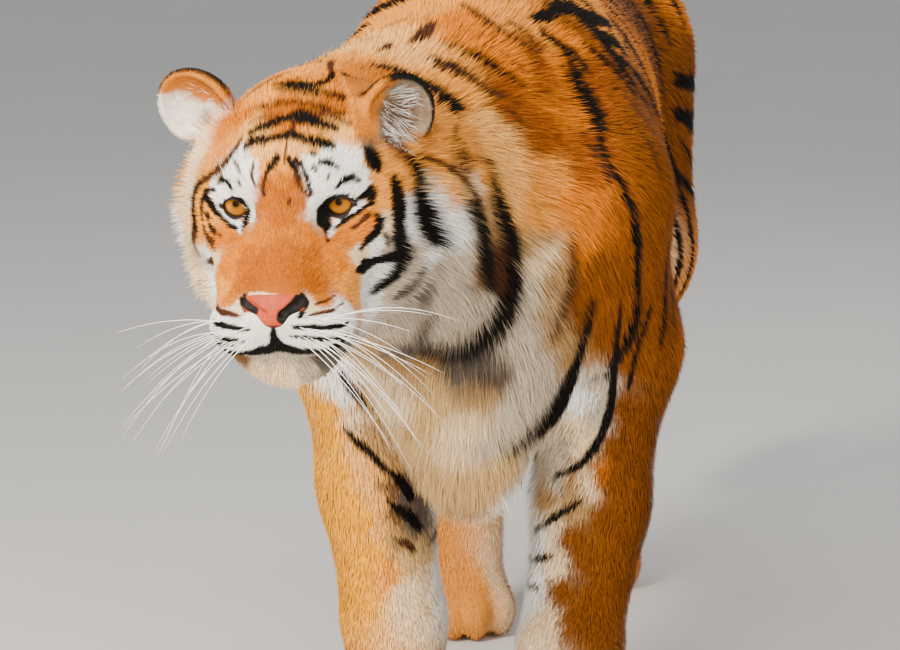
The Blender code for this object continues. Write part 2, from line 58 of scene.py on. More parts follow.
EYE_LINE = (-0.165, -1.030, 0.760)   # middle of the line between the eyes
HEAD_PITCH = 16.0            # degrees, nose down
HEAD_YAW = -2.0              # degrees, nose to the tiger's left
HEAD_ROLL = 2.5              # degrees, left side up
HEAD_BACK = 0.150            # the head is parted from the neck here
HEAD_FLOOR = -0.340          # clear air under the chin

# stations of the trunk: along, top, bottom, half width, sideways, widest height
TRUNK = {
    "neck base": (-0.68, 0.900, 0.520, 0.118, -0.030, 0.730),
    "shoulder":  (-0.56, 0.938, 0.450, 0.148, -0.010, 0.710),
    "withers":   (-0.42, 0.958, 0.415, 0.178, 0.000, 0.690),
    "ribs":      (-0.26, 0.934, 0.408, 0.198, 0.000, 0.670),
    "belly":     (-0.08, 0.914, 0.416, 0.196, 0.000, 0.660),
    "waist":     (0.12, 0.914, 0.442, 0.180, 0.000, 0.690),
    "loin":      (0.30, 0.928, 0.490, 0.164, 0.000, 0.720),
    "hips":      (0.48, 0.938, 0.540, 0.160, 0.000, 0.750),
    "buttock":   (0.62, 0.905, 0.590, 0.128, 0.000, 0.750),
    "rump end":  (0.70, 0.860, 0.680, 0.066, 0.000, 0.770),
}

FORELEGS = {
    "left": {"shoulder": (0.125, -0.58, 0.72), "elbow": (0.155, -0.50, 0.52),
             "wrist": (0.120, -0.655, 0.175), "toes": (0.108, -0.745, 0.036)},
    "right": {"shoulder": (-0.125, -0.56, 0.72), "elbow": (-0.152, -0.44, 0.51),
              "wrist": (-0.110, -0.425, 0.165), "toes": (-0.098, -0.480, 0.036)},
}
HIND_LEGS = {
    "left": {"hip": (0.095, 0.47, 0.75), "knee": (0.130, 0.37, 0.52),
             "hock": (0.085, 0.665, 0.265), "toes": (0.062, 0.600, 0.036)},
    "right": {"hip": (-0.095, 0.45, 0.75), "knee": (-0.138, 0.20, 0.51),
              "hock": (-0.098, 0.385, 0.225), "toes": (-0.085, 0.265, 0.036)},
}
FORE_PAW_HALF_WIDTH = 0.069
HIND_PAW_HALF_WIDTH = 0.062

# the tail hangs, then curls up clear of the floor: place and radius
TAIL = [
    (0.000, 0.62, 0.860, 0.078), (0.000, 0.70, 0.825, 0.062),
    (0.005, 0.785, 0.720, 0.050), (0.015, 0.835, 0.590, 0.045),
    (0.030, 0.875, 0.455, 0.043), (0.045, 0.945, 0.330, 0.042),
    (0.055, 1.045, 0.262, 0.041), (0.060, 1.150, 0.285, 0.038),
    (0.062, 1.215, 0.370, 0.030),
]

# ears in the head's frame: middle of the base, outward lean, outward turn
EARS = {
    "left": {"side": 1, "base": (0.100, 0.105, 0.030), "lean": 18.0, "turn": 27.0},
    "right": {"side": -1, "base": (-0.092, 0.105, 0.050), "lean": 42.0, "turn": 18.0},
}
EAR_HALF = (0.046, 0.026, 0.052)     # half width, half depth, half height
EAR_WALL = 0.008


# ------------------------------------------------- smooth blended solids
def unit(v):
    v = np.asarray(v, float)
    return v / np.linalg.norm(v)


def turned(pitch, yaw, roll):
    """Axes of a part turned by three angles, as the columns of a matrix."""
    p, w, r = (math.radians(a) for a in (pitch, yaw, roll))
    about_x = np.array([[1, 0, 0], [0, math.cos(p), -math.sin(p)], [0, math.sin(p), math.cos(p)]])
    about_z = np.array([[math.cos(w), -math.sin(w), 0], [math.sin(w), math.cos(w), 0], [0, 0, 1]])
    about_y = np.array([[math.cos(r), 0, -math.sin(r)], [0, 1, 0], [math.sin(r), 0, math.cos(r)]])
    return about_z @ about_x @ about_y


HEAD_AXES = turned(HEAD_PITCH, HEAD_YAW, HEAD_ROLL)


def to_head(points):
    return (points - np.array(EYE_LINE)) @ HEAD_AXES


def from_head(points):
    return np.asarray(points, float) @ HEAD_AXES.T + np.array(EYE_LINE)


def smooth_min(a, b, k):
    h = np.clip(k - np.abs(a - b), 0, None) / k
    return np.minimum(a, b) - h * h * k * 0.25


def ellipsoid(p, centre, radii, axes=None):
    q = p - np.asarray(centre, float)
    if axes is not None:
        q = q @ axes
    r = np.asarray(radii, float)
    k0 = np.sqrt(((q / r) ** 2).sum(1))
    k1 = np.sqrt(((q / r ** 2) ** 2).sum(1)) + 1e-9
    return np.where(k0 > 1e-3, k0 * (k0 - 1) / k1, -r.min())


def round_cone(p, a, b, radius_a, radius_b, wide=1.0):
    """Round bar from a to b, made wider or narrower from side to side."""
    scale = np.array([1 / wide, 1, 1])
    q = (p - a) * scale
    ab = (b - a) * scale
    t = np.clip(q @ ab / (ab @ ab), 0, 1)
    d = np.linalg.norm(q - t[:, None] * ab, axis=1) - (radius_a + (radius_b - radius_a) * t)
    return d * (1 + (min(wide, 1.0) - 1) * 0.5)


def curve(places, values, count=400):
    """Smooth curve through values at places, as a table."""
    x, y = np.asarray(places, float), np.asarray(values, float)
    slope = np.gradient(y, x)
    at = np.linspace(x[0], x[-1], count)
    i = np.clip(np.searchsorted(x, at, "right") - 1, 0, len(x) - 2)
    h = x[i + 1] - x[i]
    t = (at - x[i]) / h
    out = ((2 * t**3 - 3 * t**2 + 1) * y[i] + (t**3 - 2 * t**2 + t) * h * slope[i]
           + (-2 * t**3 + 3 * t**2) * y[i + 1] + (t**3 - t**2) * h * slope[i + 1])
    return at, out


STATIONS = np.array(list(TRUNK.values()))
TRUNK_CURVES = [curve(STATIONS[:, 0], STATIONS[:, i]) for i in range(1, 6)]


def trunk_field(p):
    first, last = STATIONS[0, 0], STATIONS[-1, 0]
    y = np.clip(p[:, 1], first, last)
    top, bottom, half, mid, widest = (np.interp(y, *c) for c in TRUNK_CURVES)
    x, z = p[:, 0] - mid, p[:, 2] - widest
    tall = np.where(z > 0, top - widest, widest - bottom)
    k0 = np.sqrt((x / half) ** 2 + (z / tall) ** 2)
    k1 = np.sqrt((x / half**2) ** 2 + (z / tall**2) ** 2) + 1e-9
    d = np.where(k0 > 1e-3, k0 * (k0 - 1) / k1, -half)
    past = np.maximum(np.maximum(first - p[:, 1], p[:, 1] - last), 0)
    return np.where(past > 0, np.hypot(np.maximum(d, 0), past), d)


class Form:
    """Distance to a blend of masses, worked out at a set of points."""

    def __init__(self, points):
        self.p = points
        self.d = np.full(len(points), 1.0)

    def blend(self, make, centre, reach, k, cut=False):
        near = np.flatnonzero((np.abs(self.p - np.asarray(centre)) < reach + k + 0.10).all(1))
        if len(near) == 0:
            return
        d = make(self.p[near])
        if cut:
            self.d[near] = -smooth_min(-self.d[near], d, k)
        else:
            self.d[near] = smooth_min(self.d[near], d, k)

    def mass(self, centre, radii, k=0.02, axes=None, cut=False):
        self.blend(lambda q: ellipsoid(q, centre, radii, axes), centre, max(radii), k, cut)

    def limb(self, a, b, radius_a, radius_b, k=0.02, wide=1.0):
        a, b = np.asarray(a, float), np.asarray(b, float)
        reach = np.linalg.norm(b - a) / 2 + max(radius_a, radius_b) * max(1, wide)
        self.blend(lambda q: round_cone(q, a, b, radius_a, radius_b, wide), (a + b) / 2, reach, k)


# ------------------------------------------------------------- the animal
def add_head(f):
    """Skull, cheeks, muzzle, chin and ruff, in the head's frame."""
    f.mass((0, 0.085, 0.000), (0.102, 0.110, 0.084), .03)
    f.mass((0, 0.036, 0.020), (0.082, 0.058, 0.044), .03)
    f.limb((0, 0.012, -0.004), (0, -0.124, -0.067), 0.033, 0.028, .016, wide=1.35)
    f.mass((0, -0.085, -0.086), (0.062, 0.063, 0.046), .02)
    f.mass((0, -0.086, -0.137), (0.042, 0.044, 0.040), .026)
    f.mass((0, -0.020, -0.136), (0.057, 0.078, 0.040), .03)
    for s in (1, -1):
        f.mass((s * 0.037, -0.109, -0.093), (0.042, 0.045, 0.033), .012)
        f.mass((s * 0.051, -0.072, -0.104), (0.031, 0.055, 0.034), .014)
        f.limb((s * 0.028, -0.075, -0.132), (s * 0.075, 0.060, -0.108), 0.031, 0.048, .025)
        f.mass((s * 0.068, 0.028, -0.040), (0.046, 0.056, 0.040), .03)
        f.mass((s * 0.045, -0.030, -0.062), (0.038, 0.052, 0.036), .025)
        f.mass((s * 0.080, 0.085, -0.050), (0.052, 0.070, 0.075), .03)
        f.mass((s * 0.090, 0.112, -0.052), (0.058, 0.062, 0.082), .03)
        f.mass((s * 0.076, 0.100, -0.132), (0.052, 0.064, 0.054), .03)
    f.mass((0.128, 0.165, -0.070), (0.060, 0.070, 0.085), .04)
    for s in (1, -1):
        f.mass((s * 0.060, -0.028, -0.003), (0.024, 0.018, 0.016), .016, cut=True)
        f.mass((s * EYE_SPACING / 2, 0.009, 0.000), (0.0222, 0.0222, 0.0222), .008)
    for s in (1, -1):
        f.mass((s * 0.026, -0.156, -0.063), (0.011, 0.014, 0.006), .004, cut=True)


def ear_axes(ear):
    lean, turn, s = math.radians(ear["lean"]), math.radians(ear["turn"]), ear["side"]
    up = unit([s * math.sin(lean), 0.10, math.cos(lean)])
    opening = np.array([s * math.sin(turn), -math.cos(turn), 0.10])
    opening = unit(opening - (opening @ up) * up)
    return np.stack([np.cross(up, opening), opening, up], 1)


def add_ear(f, ear):
    axes = ear_axes(ear)
    width, depth, height = EAR_HALF
    base = np.array(ear["base"])
    f.mass(base + axes @ (0, 0, 0.030), EAR_HALF, .004, axes)
    inner = (width - EAR_WALL, depth + 0.004, height - EAR_WALL * 0.7)
    f.mass(base + axes @ (0, 0.022, 0.034), inner, .006, axes, cut=True)


def add_paw(f, joint, toes, joint_radius, half):
    """Foot down from the joint: heel pad and four toes, the soles at the floor."""
    x, y = toes[:2]
    side = np.sign(x)
    heel = np.array([x + 0.004 * side, y + 0.055, 0.044])
    f.limb(joint, heel + (0, -0.012, 0.024), joint_radius, 0.050, .03, wide=1.05)
    f.mass((x, y + 0.030, 0.044), (half * 0.93, 0.062, 0.048), .02)
    f.mass((x, y + 0.045, 0.016), (half * 0.64, 0.046, 0.024), .01)
    for across, ahead in ((-0.72, 0.012), (-0.26, -0.016), (0.26, -0.014), (0.72, 0.018)):
        toe = np.array([x + across * half, y + ahead, 0.033])
        f.mass(toe, (0.0225, 0.039, 0.033), .008)
        f.mass(toe + (0, -0.012, -0.019), (0.015, 0.021, 0.018), .006)


def add_foreleg(f, leg):
    shoulder, elbow, wrist = (np.array(leg[k]) for k in ("shoulder", "elbow", "wrist"))
    middle = elbow + (wrist - elbow) * 0.5
    f.limb(shoulder, elbow, 0.094, 0.084, .05)
    f.limb(shoulder + (0, 0.14, 0.04), elbow + (0, 0.040, 0.0), 0.084, 0.070, .05)
    f.limb(elbow, middle, 0.086, 0.074, .03, wide=0.93)
    f.limb(middle, wrist, 0.074, 0.061, .03, wide=0.98)
    add_paw(f, wrist, leg["toes"], 0.060, FORE_PAW_HALF_WIDTH)


def add_hind_leg(f, leg):
    hip, knee, hock = (np.array(leg[k]) for k in ("hip", "knee", "hock"))
    f.limb(hip, knee, 0.135, 0.098, .06, wide=0.80)
    f.limb(hip + (0, 0.11, -0.02), knee + (hock - knee) * 0.45 + (0, 0.060, 0.02), 0.112, 0.074, .06, wide=0.8)
    f.limb(knee + (0, -0.11, 0.07), knee, 0.055, 0.076, .06, wide=0.6)
    f.limb(knee, hock + (0, -0.018, 0.01), 0.094, 0.052, .035, wide=0.82)
    f.limb(knee + (0, 0.09, -0.02), hock + (0, 0.018, 0.02), 0.076, 0.037, .03, wide=0.75)
    add_paw(f, hock, leg["toes"], 0.051, HIND_PAW_HALF_WIDTH)


def tail_line(count=24):
    """Points along the tail, each with its radius."""
    places = np.array(TAIL)
    step = np.linalg.norm(np.diff(places[:, :3], axis=0), axis=1)
    along = np.concatenate([[0], np.cumsum(step)])
    return np.stack([curve(along, places[:, i], count)[1] for i in range(4)], 1)


def add_body(f):
    f.blend(trunk_field, (0, 0, 0.68), 1.0, .02)
    # neck and throat
    f.limb((0, -0.50, 0.750), (-0.145, -0.890, 0.768), 0.188, 0.132, .06, wide=0.90)
    f.limb((0, -0.56, 0.650), (-0.135, -0.870, 0.682), 0.165, 0.108, .05, wide=0.97)
    # breast, with the long hair that hangs from it
    f.mass((-0.012, -0.640, 0.580), (0.128, 0.095, 0.165), .06)
    f.mass((-0.005, -0.590, 0.450), (0.090, 0.090, 0.130), .06)
    for s in (1, -1):
        f.limb((s * 0.060, -0.400, 0.880), (s * 0.132, -0.570, 0.720), 0.070, 0.095, .08)
    for leg in FORELEGS.values():
        add_foreleg(f, leg)
    for leg in HIND_LEGS.values():
        add_hind_leg(f, leg)
    line = tail_line()
    for a, b in zip(line[:-1], line[1:]):
        f.limb(a[:3], b[:3], a[3], b[3], .02)


def tiger_field(points):
    """Distance to the outline of the coat: negative inside."""
    f = Form(points)
    add_body(f)
    at_head = to_head(points)
    near = np.flatnonzero((np.abs(at_head) < 0.45).all(1))
    head = Form(at_head[near])
    add_head(head)
    f.d[near] = smooth_min(f.d[near], head.d, 0.05)
    for ear in EARS.values():
        e = Form(at_head[near])
        add_ear(e, ear)
        f.d[near] = smooth_min(f.d[near], e.d, 0.012)
    return f.d


# -------------------------------------------------------- from form to mesh
def softened(values):
    """Grid values averaged with their neighbours, which rounds knife edges."""
    for axis in range(3):
        first, last = np.take(values, [0], axis), np.take(values, [-1], axis)
        before = np.concatenate([first, np.delete(values, -1, axis)], axis)
        after = np.concatenate([np.delete(values, 0, axis), last], axis)
        values = values * 0.5 + (before + after) * 0.25
    return values


def sampled(field, low, high, step, ratio=4):
    """The field on a grid, in full detail only near the surface."""
    low = np.asarray(low, float)
    n = np.ceil((np.asarray(high) - low) / (step * ratio)).astype(int) * ratio
    axes = [low[i] + step * np.arange(n[i] + 1) for i in range(3)]
    coarse = np.stack(np.meshgrid(*[a[::ratio] for a in axes], indexing="ij"), -1)
    values = field(coarse.reshape(-1, 3)).reshape(coarse.shape[:3])
    for axis in range(3):
        where = np.arange(n[axis] + 1) / ratio
        i = np.minimum(where.astype(int), values.shape[axis] - 2)
        t = (where - i).reshape([-1 if k == axis else 1 for k in range(3)])
        values = np.take(values, i, axis) * (1 - t) + np.take(values, i + 1, axis) * t
    near = np.abs(values) < 2.5 * step * ratio
    places = np.argwhere(near)
    fine = np.empty(len(places))
    for start in range(0, len(places), 300000):
        fine[start:start + 300000] = field(low + places[start:start + 300000] * step)
    values[near] = fine
    return softened(values)


def surface(values, low, step):
    """Closed mesh of four-sided faces where the field is zero."""
    inside = values < 0
    n = np.array(values.shape) - 1
    count = np.zeros(n, int)
    for i in (0, 1):
        for j in (0, 1):
            for k in (0, 1):
                count += inside[i:i + n[0], j:j + n[1], k:k + n[2]]
    cells = np.argwhere((count > 0) & (count < 8))
    number = -np.ones(n, int)
    number[tuple(cells.T)] = np.arange(len(cells))
    total, hits = np.zeros((len(cells), 3)), np.zeros(len(cells))
    for axis in range(3):
        b, c = [a for a in range(3) if a != axis]
        along = np.eye(3, dtype=int)[axis]
        for db in (0, 1):
            for dc in (0, 1):
                corner = np.zeros(3, int)
                corner[b], corner[c] = db, dc
                p0 = cells + corner
                v0 = values[tuple(p0.T)]
                v1 = values[tuple((p0 + along).T)]
                cross = (v0 < 0) != (v1 < 0)
                t = np.where(cross, v0 / np.where(cross, v0 - v1, 1), 0)
                total[cross] += p0[cross] + t[cross, None] * along
                hits[cross] += 1
    verts = np.asarray(low) + total / hits[:, None] * step
    faces = []
    for axis in range(3):
        b, c = [(1, 2), (2, 0), (0, 1)][axis]
        before = [slice(None)] * 3
        after = [slice(None)] * 3
        before[axis], after[axis] = slice(0, -1), slice(1, None)
        first, second = inside[tuple(before)], inside[tuple(after)]
        at = np.argwhere(first != second)
        eb, ec = np.eye(3, dtype=int)[b], np.eye(3, dtype=int)[c]
        ring = [at - eb - ec, at - ec, at, at - eb]
        quads = np.stack([number[tuple(r.T)] for r in ring], 1)
        back = ~first[tuple(at.T)]
        quads[back] = quads[back][:, ::-1]
        faces.append(quads)
    return verts, np.concatenate(faces)


# ------------------------------------------------------------ lie of the coat
# A guide says, at one place, which way the hair lies, how deep the coat is and
# how long its hair is, both in millimetres. Between guides all three blend.
# Places in centimetres: in the head's frame for the first list (left side,
# mirrored for the right), in the tiger's own frame for the second.
HEAD_GUIDES = [
    ((0, -13.5, -5.0), (0, 0.7, 1), 0.4, 3), ((0, -10, -4.0), (0, 1, 0.6), 1.8, 6),
    ((0, -5, -1), (0, 1, 0.7), 2.4, 9), ((0, -1, 3), (0, 0.4, 1), 4, 12),
    ((0, 2, 6.5), (0, 0.6, 1), 6, 15), ((0, 7, 9.5), (0, 1, 0.4), 8, 20),
    ((4.5, -1, 3.2), (0.35, 0.3, 1), 3, 10), ((7.5, 0, 2.9), (0.7, 0.5, 0.8), 3.2, 11),
    ((6, 2, 6), (0.35, 0.5, 1), 6, 15), ((3.0, -3, 0.3), (0.5, 0.6, 0.6), 1.5, 6),
    ((5.75, -1, 0), (1, 0.5, 0), 1.0, 5), ((5.5, -2.2, -2.4), (0.8, 0.7, -0.4), 2.2, 8),
    ((9.0, 1.5, 0.5), (0.8, 1, 0.05), 4, 12), ((9, 3, -3), (0.8, 0.9, -0.5), 6, 15),
    ((3.2, -7, -4), (0.5, 1, 0.15), 2.0, 7), ((4, -13, -8), (1, 0.9, -0.25), 1.8, 6),
    ((6.8, -8, -9.5), (0.6, 1, -0.4), 2.4, 9), ((2, -14, -10), (0.7, 0.3, -1), 1.4, 5),
    ((0, -12, -16), (0, 0.4, -1), 4, 15), ((3, -10, -14.5), (0.3, 0.7, -0.8), 4, 14),
    ((7.5, -2, -12), (0.6, 0.9, -0.6), 7, 20), ((0, -3, -17.5), (0, 0.8, -0.7), 10, 30),
    ((10.5, 5, -7), (0.6, 0.8, -0.7), 11, 24), ((12.5, 9, -3), (0.6, 0.9, -0.6), 15, 32),
    ((14, 11, -10), (0.4, 0.6, -1), 20, 42), ((9.5, 8, -16), (0.1, 0.5, -1), 22, 46),
    ((10.5, 6, 3), (0.6, 1, -0.1), 8, 20), ((7, 10, 8.5), (0.1, 1, 0.2), 8, 18),
]
BODY_GUIDES = [
    ((-7, -80, 89), (0.1, 1, -0.05), 14, 32), ((4, -86, 76), (0.2, 1, -0.5), 18, 40),
    ((-28, -86, 76), (-0.1, 1, -0.5), 18, 40), ((-12, -86, 58), (0, 0.35, -1), 26, 55),
    ((12, -74, 74), (0.25, 1, -0.5), 17, 36), ((-17, -72, 74), (-0.2, 1, -0.5), 17, 36),
    ((10, -74, 62), (0.3, 0.6, -1), 24, 48), ((-14, -74, 62), (-0.3, 0.6, -1), 24, 48),
    ((-1, -74, 54), (0, 0.15, -1), 32, 62), ((0, -62, 36), (0, 0.25, -1), 38, 70),
    ((9, -70, 46), (0.2, 0.35, -1), 26, 50), ((-9, -70, 46), (-0.2, 0.35, -1), 26, 50),
    ((0, -45, 95.5), (0, 1, 0), 13, 30), ((0, 0, 91.5), (0, 1, 0), 12, 30), ((0, 30, 93), (0, 1, 0), 12, 30),
    ((0, -10, 41), (0, 1, -0.6), 22, 44), ((0, 22, 46), (0, 1, -0.6), 22, 44),
]
BODY_PAIRS = [
    ((20, -60, 74), (0.1, 0.8, -0.8), 11, 25), ((21, -52, 58), (0, 0.45, -1), 11, 24),
    ((17, -40, 48), (0, 0.9, -0.7), 12, 28), ((14, -44, 90), (0.15, 1, -0.35), 12, 28),
    ((20, -20, 66), (0.05, 1, -0.3), 12, 30), ((19, 10, 62), (0, 1, -0.35), 13, 32),
    ((12, 5, 88), (0.1, 1, -0.15), 12, 30), ((14, 50, 86), (0.1, 1, -0.6), 12, 28),
    ((16, 47, 62), (0, 0.5, -1), 11, 26), ((8, 66, 74), (0, 0.3, -1), 14, 34),
    ((5, 45, 52), (-0.1, 0.3, -1), 12, 30),
]


def leg_guides(leg, upper, joint):
    """Hair lies down each leg, longer along its back edge, and over the paw."""
    a, b, toes = (np.array(leg[k]) * 100 for k in (upper, joint, "toes"))
    rows = []
    for t, depth in ((0.25, 9), (0.60, 7.5), (0.95, 6)):
        at = a + (b - a) * t
        down = unit(b - a)
        rows += [(at + (0, -7, 0), down + (0, 0.05, 0), depth * 0.8, depth * 2.1),
                 (at + (0, 7, 0), down + (0, 0.45, 0), depth * 1.2, depth * 3.2)]
    rows += [(toes + (0, 6, 4), (0, -0.5, -1), 4.5, 11), (toes + (0, 1, 3.5), (0, -1, -0.35), 3.6, 9),
             (toes + (0, -3, 1), (0, -0.5, -1), 2.6, 7), (toes + (0, 8, 1), (0, 0.6, -1), 4, 11)]
    return rows


def all_guides():
    """Places of all guides, and what each says: the way, the depth and the length."""
    rows = []
    for place, lie, depth, length in HEAD_GUIDES:
        for s in (1, -1) if place[0] else (1,):
            side = np.array([s, 1, 1])
            at = from_head(np.array(place) * side * 0.01)
            rows.append((at, HEAD_AXES @ (np.array(lie) * side), depth, length))
    for place, lie, depth, length in BODY_GUIDES:
        rows.append((np.array(place) * 0.01, lie, depth, length))
    for place, lie, depth, length in BODY_PAIRS:
        for s in (1, -1):
            side = np.array([s, 1, 1])
            rows.append((np.array(place) * side * 0.01, np.array(lie) * side, depth, length))
    for leg in FORELEGS.values():
        rows += [(at * 0.01, lie, depth, length) for at, lie, depth, length in leg_guides(leg, "elbow", "wrist")]
    for leg in HIND_LEGS.values():
        rows += [(at * 0.01, lie, depth, length) for at, lie, depth, length in leg_guides(leg, "knee", "hock")]
    line = tail_line()
    for i in range(1, len(line) - 1, 2):
        rows.append((line[i, :3], unit(line[i + 1, :3] - line[i - 1, :3]), 13, 30))
    rows.append((line[-1, :3], unit(line[-1, :3] - line[-2, :3]), 12, 28))
    places = np.array([r[0] for r in rows], np.float32)
    values = np.array([[*unit(r[1]), r[2] * 0.001, r[3] * 0.001] for r in rows], np.float32)
    return places, values


GUIDE_PLACES, GUIDE_VALUES = all_guides()
GUIDE_REACH = 0.02           # the nearest guide rules alone within about this distance


def guided(points):
    """Lie (three columns), depth and length of the coat at points near the skin."""
    out = np.empty((len(points), 5), np.float32)
    p = points.astype(np.float32)
    for start in range(0, len(p), 100000):
        q = p[start:start + 100000]
        square = ((q ** 2).sum(1)[:, None] + (GUIDE_PLACES ** 2).sum(1)[None] - 2 * q @ GUIDE_PLACES.T)
        w = 1 / (np.maximum(square, 0) + GUIDE_REACH ** 2) ** 3
        out[start:start + 100000] = (w @ GUIDE_VALUES) / w.sum(1)[:, None]
    return out


EAR_COAT = 0.0018


def coat_depth(points):
    """From the tips of the coat down to the skin."""
    depth = guided(points)[:, 3].astype(float)
    at_head = to_head(points)
    near = np.flatnonzero((np.abs(at_head) < 0.25).all(1))
    for ear in EARS.values():
        q = (at_head[near] - np.array(ear["base"])) @ ear_axes(ear)
        k = np.clip((q[:, 2] + 0.005) / 0.025, 0, 1) * (np.abs(q[:, 0]) < 0.07) * (np.abs(q[:, 1]) < 0.06)
        depth[near] = depth[near] * (1 - k) + EAR_COAT * k
    return depth


# ------------------------------------------------------------------- the skin
LID = 0.0021                 # thickness of an eyelid over the eyeball
EYE_HALF_LENGTH = 0.0150     # of the opening between the lids
EYE_UPPER, EYE_LOWER = 0.0114, 0.0088
EYE_SLANT = 0.16             # rise of the opening towards its outer corner


def eye_opening(h, s):
    """Signed distance, across the face, to the almond between the lids."""
    x = (h[:, 0] * s - EYE_SPACING / 2)
    z = h[:, 2] - EYE_SLANT * x
    t = np.clip(x / EYE_HALF_LENGTH, -1.3, 1.3)
    bow = np.clip(1 - t * t, 0, None)
    top = EYE_UPPER * bow ** 0.75 * (1 - 0.10 * t)
    bottom = -EYE_LOWER * bow ** 0.80 * (1 + 0.15 * t)
    middle, half = (top + bottom) / 2, (top - bottom) / 2
    return np.maximum(np.abs(z - middle) - half, (np.abs(x) - EYE_HALF_LENGTH) * 0.6)


# left half of the mouth, from under the nose outward, and its half width
MOUTH = [(0.0, -0.155, -0.099), (0.014, -0.152, -0.108), (0.030, -0.143, -0.1145), (0.048, -0.118, -0.118),
         (0.060, -0.085, -0.116), (0.066, -0.055, -0.106)]
MOUTH_WIDTH = 0.0030
NOSTRIL = [(0.0100, -0.1500, -0.0625), (0.0190, -0.1460, -0.0585), (0.0290, -0.1395, -0.0535),
           (0.0370, -0.1290, -0.0470)]


def tear_line(s):
    """From the inner corner of the eye, down beside the nose."""
    return np.array([s * 0.043, -0.016, -0.004]), np.array([s * 0.047, -0.030, -0.016])


def nostril_line(s):
    """A comma that opens to the side: from the middle of the nose, out and up."""
    return [np.array([s * x, y, z]) for x, y, z in NOSTRIL]


def face_details(d, h):
    """Lids, nostrils, lips and folds, cut into or laid on the skin of the head."""
    def change(make, centre, reach, k, cut=False):
        near = np.flatnonzero((np.abs(h - np.asarray(centre)) < reach).all(1))
        if len(near):
            e = make(h[near])
            d[near] = -smooth_min(-d[near], e, k) if cut else smooth_min(d[near], e, k)

    for s in (1, -1):
        centre = np.array([s * EYE_SPACING / 2, EYE_DEPTH, 0.0])
        lid = EYE_RADIUS + LID
        change(lambda q: np.linalg.norm(q - centre, axis=1) - lid, centre, 0.045, 0.006)

        def pit(q):
            return np.maximum(np.maximum(eye_opening(q, s), EYE_RADIUS - 0.0025 - np.linalg.norm(q - centre, axis=1)),
                              q[:, 1] - EYE_DEPTH)
        change(pit, centre, 0.035, 0.0016, cut=True)
        # inner corner runs on as a shallow tear line
        a, b = tear_line(s)
        change(lambda q: round_cone(q, a, b, 0.0022, 0.0012), (a + b) / 2, 0.03, 0.003, cut=True)
        # nostril: a comma that opens to the side
        for inner, outer in zip(nostril_line(s)[:-1], nostril_line(s)[1:]):
            change(lambda q: round_cone(q, inner, outer, 0.0046, 0.0038), (inner + outer) / 2, 0.03, 0.003, cut=True)
        # half of the mouth: from under the nose out along the lip
        line = [np.array([s * x, y, z]) for x, y, z in MOUTH]
        for a, b in zip(line[:-1], line[1:]):
            change(lambda q: round_cone(q, a, b, MOUTH_WIDTH, MOUTH_WIDTH), (a + b) / 2, 0.03, 0.004, cut=True)
    top, foot = np.array([0, -0.160, -0.070]), np.array([0, -0.156, -0.098])
    change(lambda q: round_cone(q, top, foot, 0.0013, 0.0016), (top + foot) / 2, 0.03, 0.003, cut=True)


def skin_field(points):
    """Distance to the bare skin under the coat."""
    d = tiger_field(points) + coat_depth(points)
    h = to_head(points)
    near = np.flatnonzero((np.abs(h) < 0.2).all(1))
    if len(near):
        part = d[near]
        face_details(part, h[near])
        d[near] = part
    return d


def skin_head_only(points):
    """The skin of the head, cut off behind the ears."""
    return -smooth_min(-skin_field(points), HEAD_BACK + 0.02 - to_head(points)[:, 1], 0.012)


def skin_body_only(points):
    """The skin of the rest, which overlaps the head's a little."""
    at_head = to_head(points)
    block = np.maximum(at_head[:, 1] - HEAD_BACK + 0.02, HEAD_FLOOR + 0.02 - at_head[:, 2])
    return -smooth_min(-skin_field(points), block, 0.015)


# ---------------------------------------------------------------- the colours
TONES = {
    "orange": (0.58, 0.158, 0.002), "golden": (0.77, 0.290, 0.036), "rust": (0.20, 0.056, 0.004),
    "amber": (0.86, 0.360, 0.004), "straw": (0.86, 0.410, 0.105), "tawny": (0.43, 0.107, 0.001),
    "russet": (0.25, 0.062, 0.004),
    "tan": (0.42, 0.240, 0.090), "wheat": (0.64, 0.410, 0.160), "cream": (0.86, 0.620, 0.370),
    "white": (0.95, 0.900, 0.830), "silver": (0.50, 0.410, 0.300), "grey": (0.10, 0.080, 0.062),
    "umber": (0.16, 0.076, 0.028), "brown": (0.060, 0.020, 0.008), "black": (0.006, 0.005, 0.004),
    "pink": (0.42, 0.062, 0.021), "skin": (0.27, 0.135, 0.095),
}

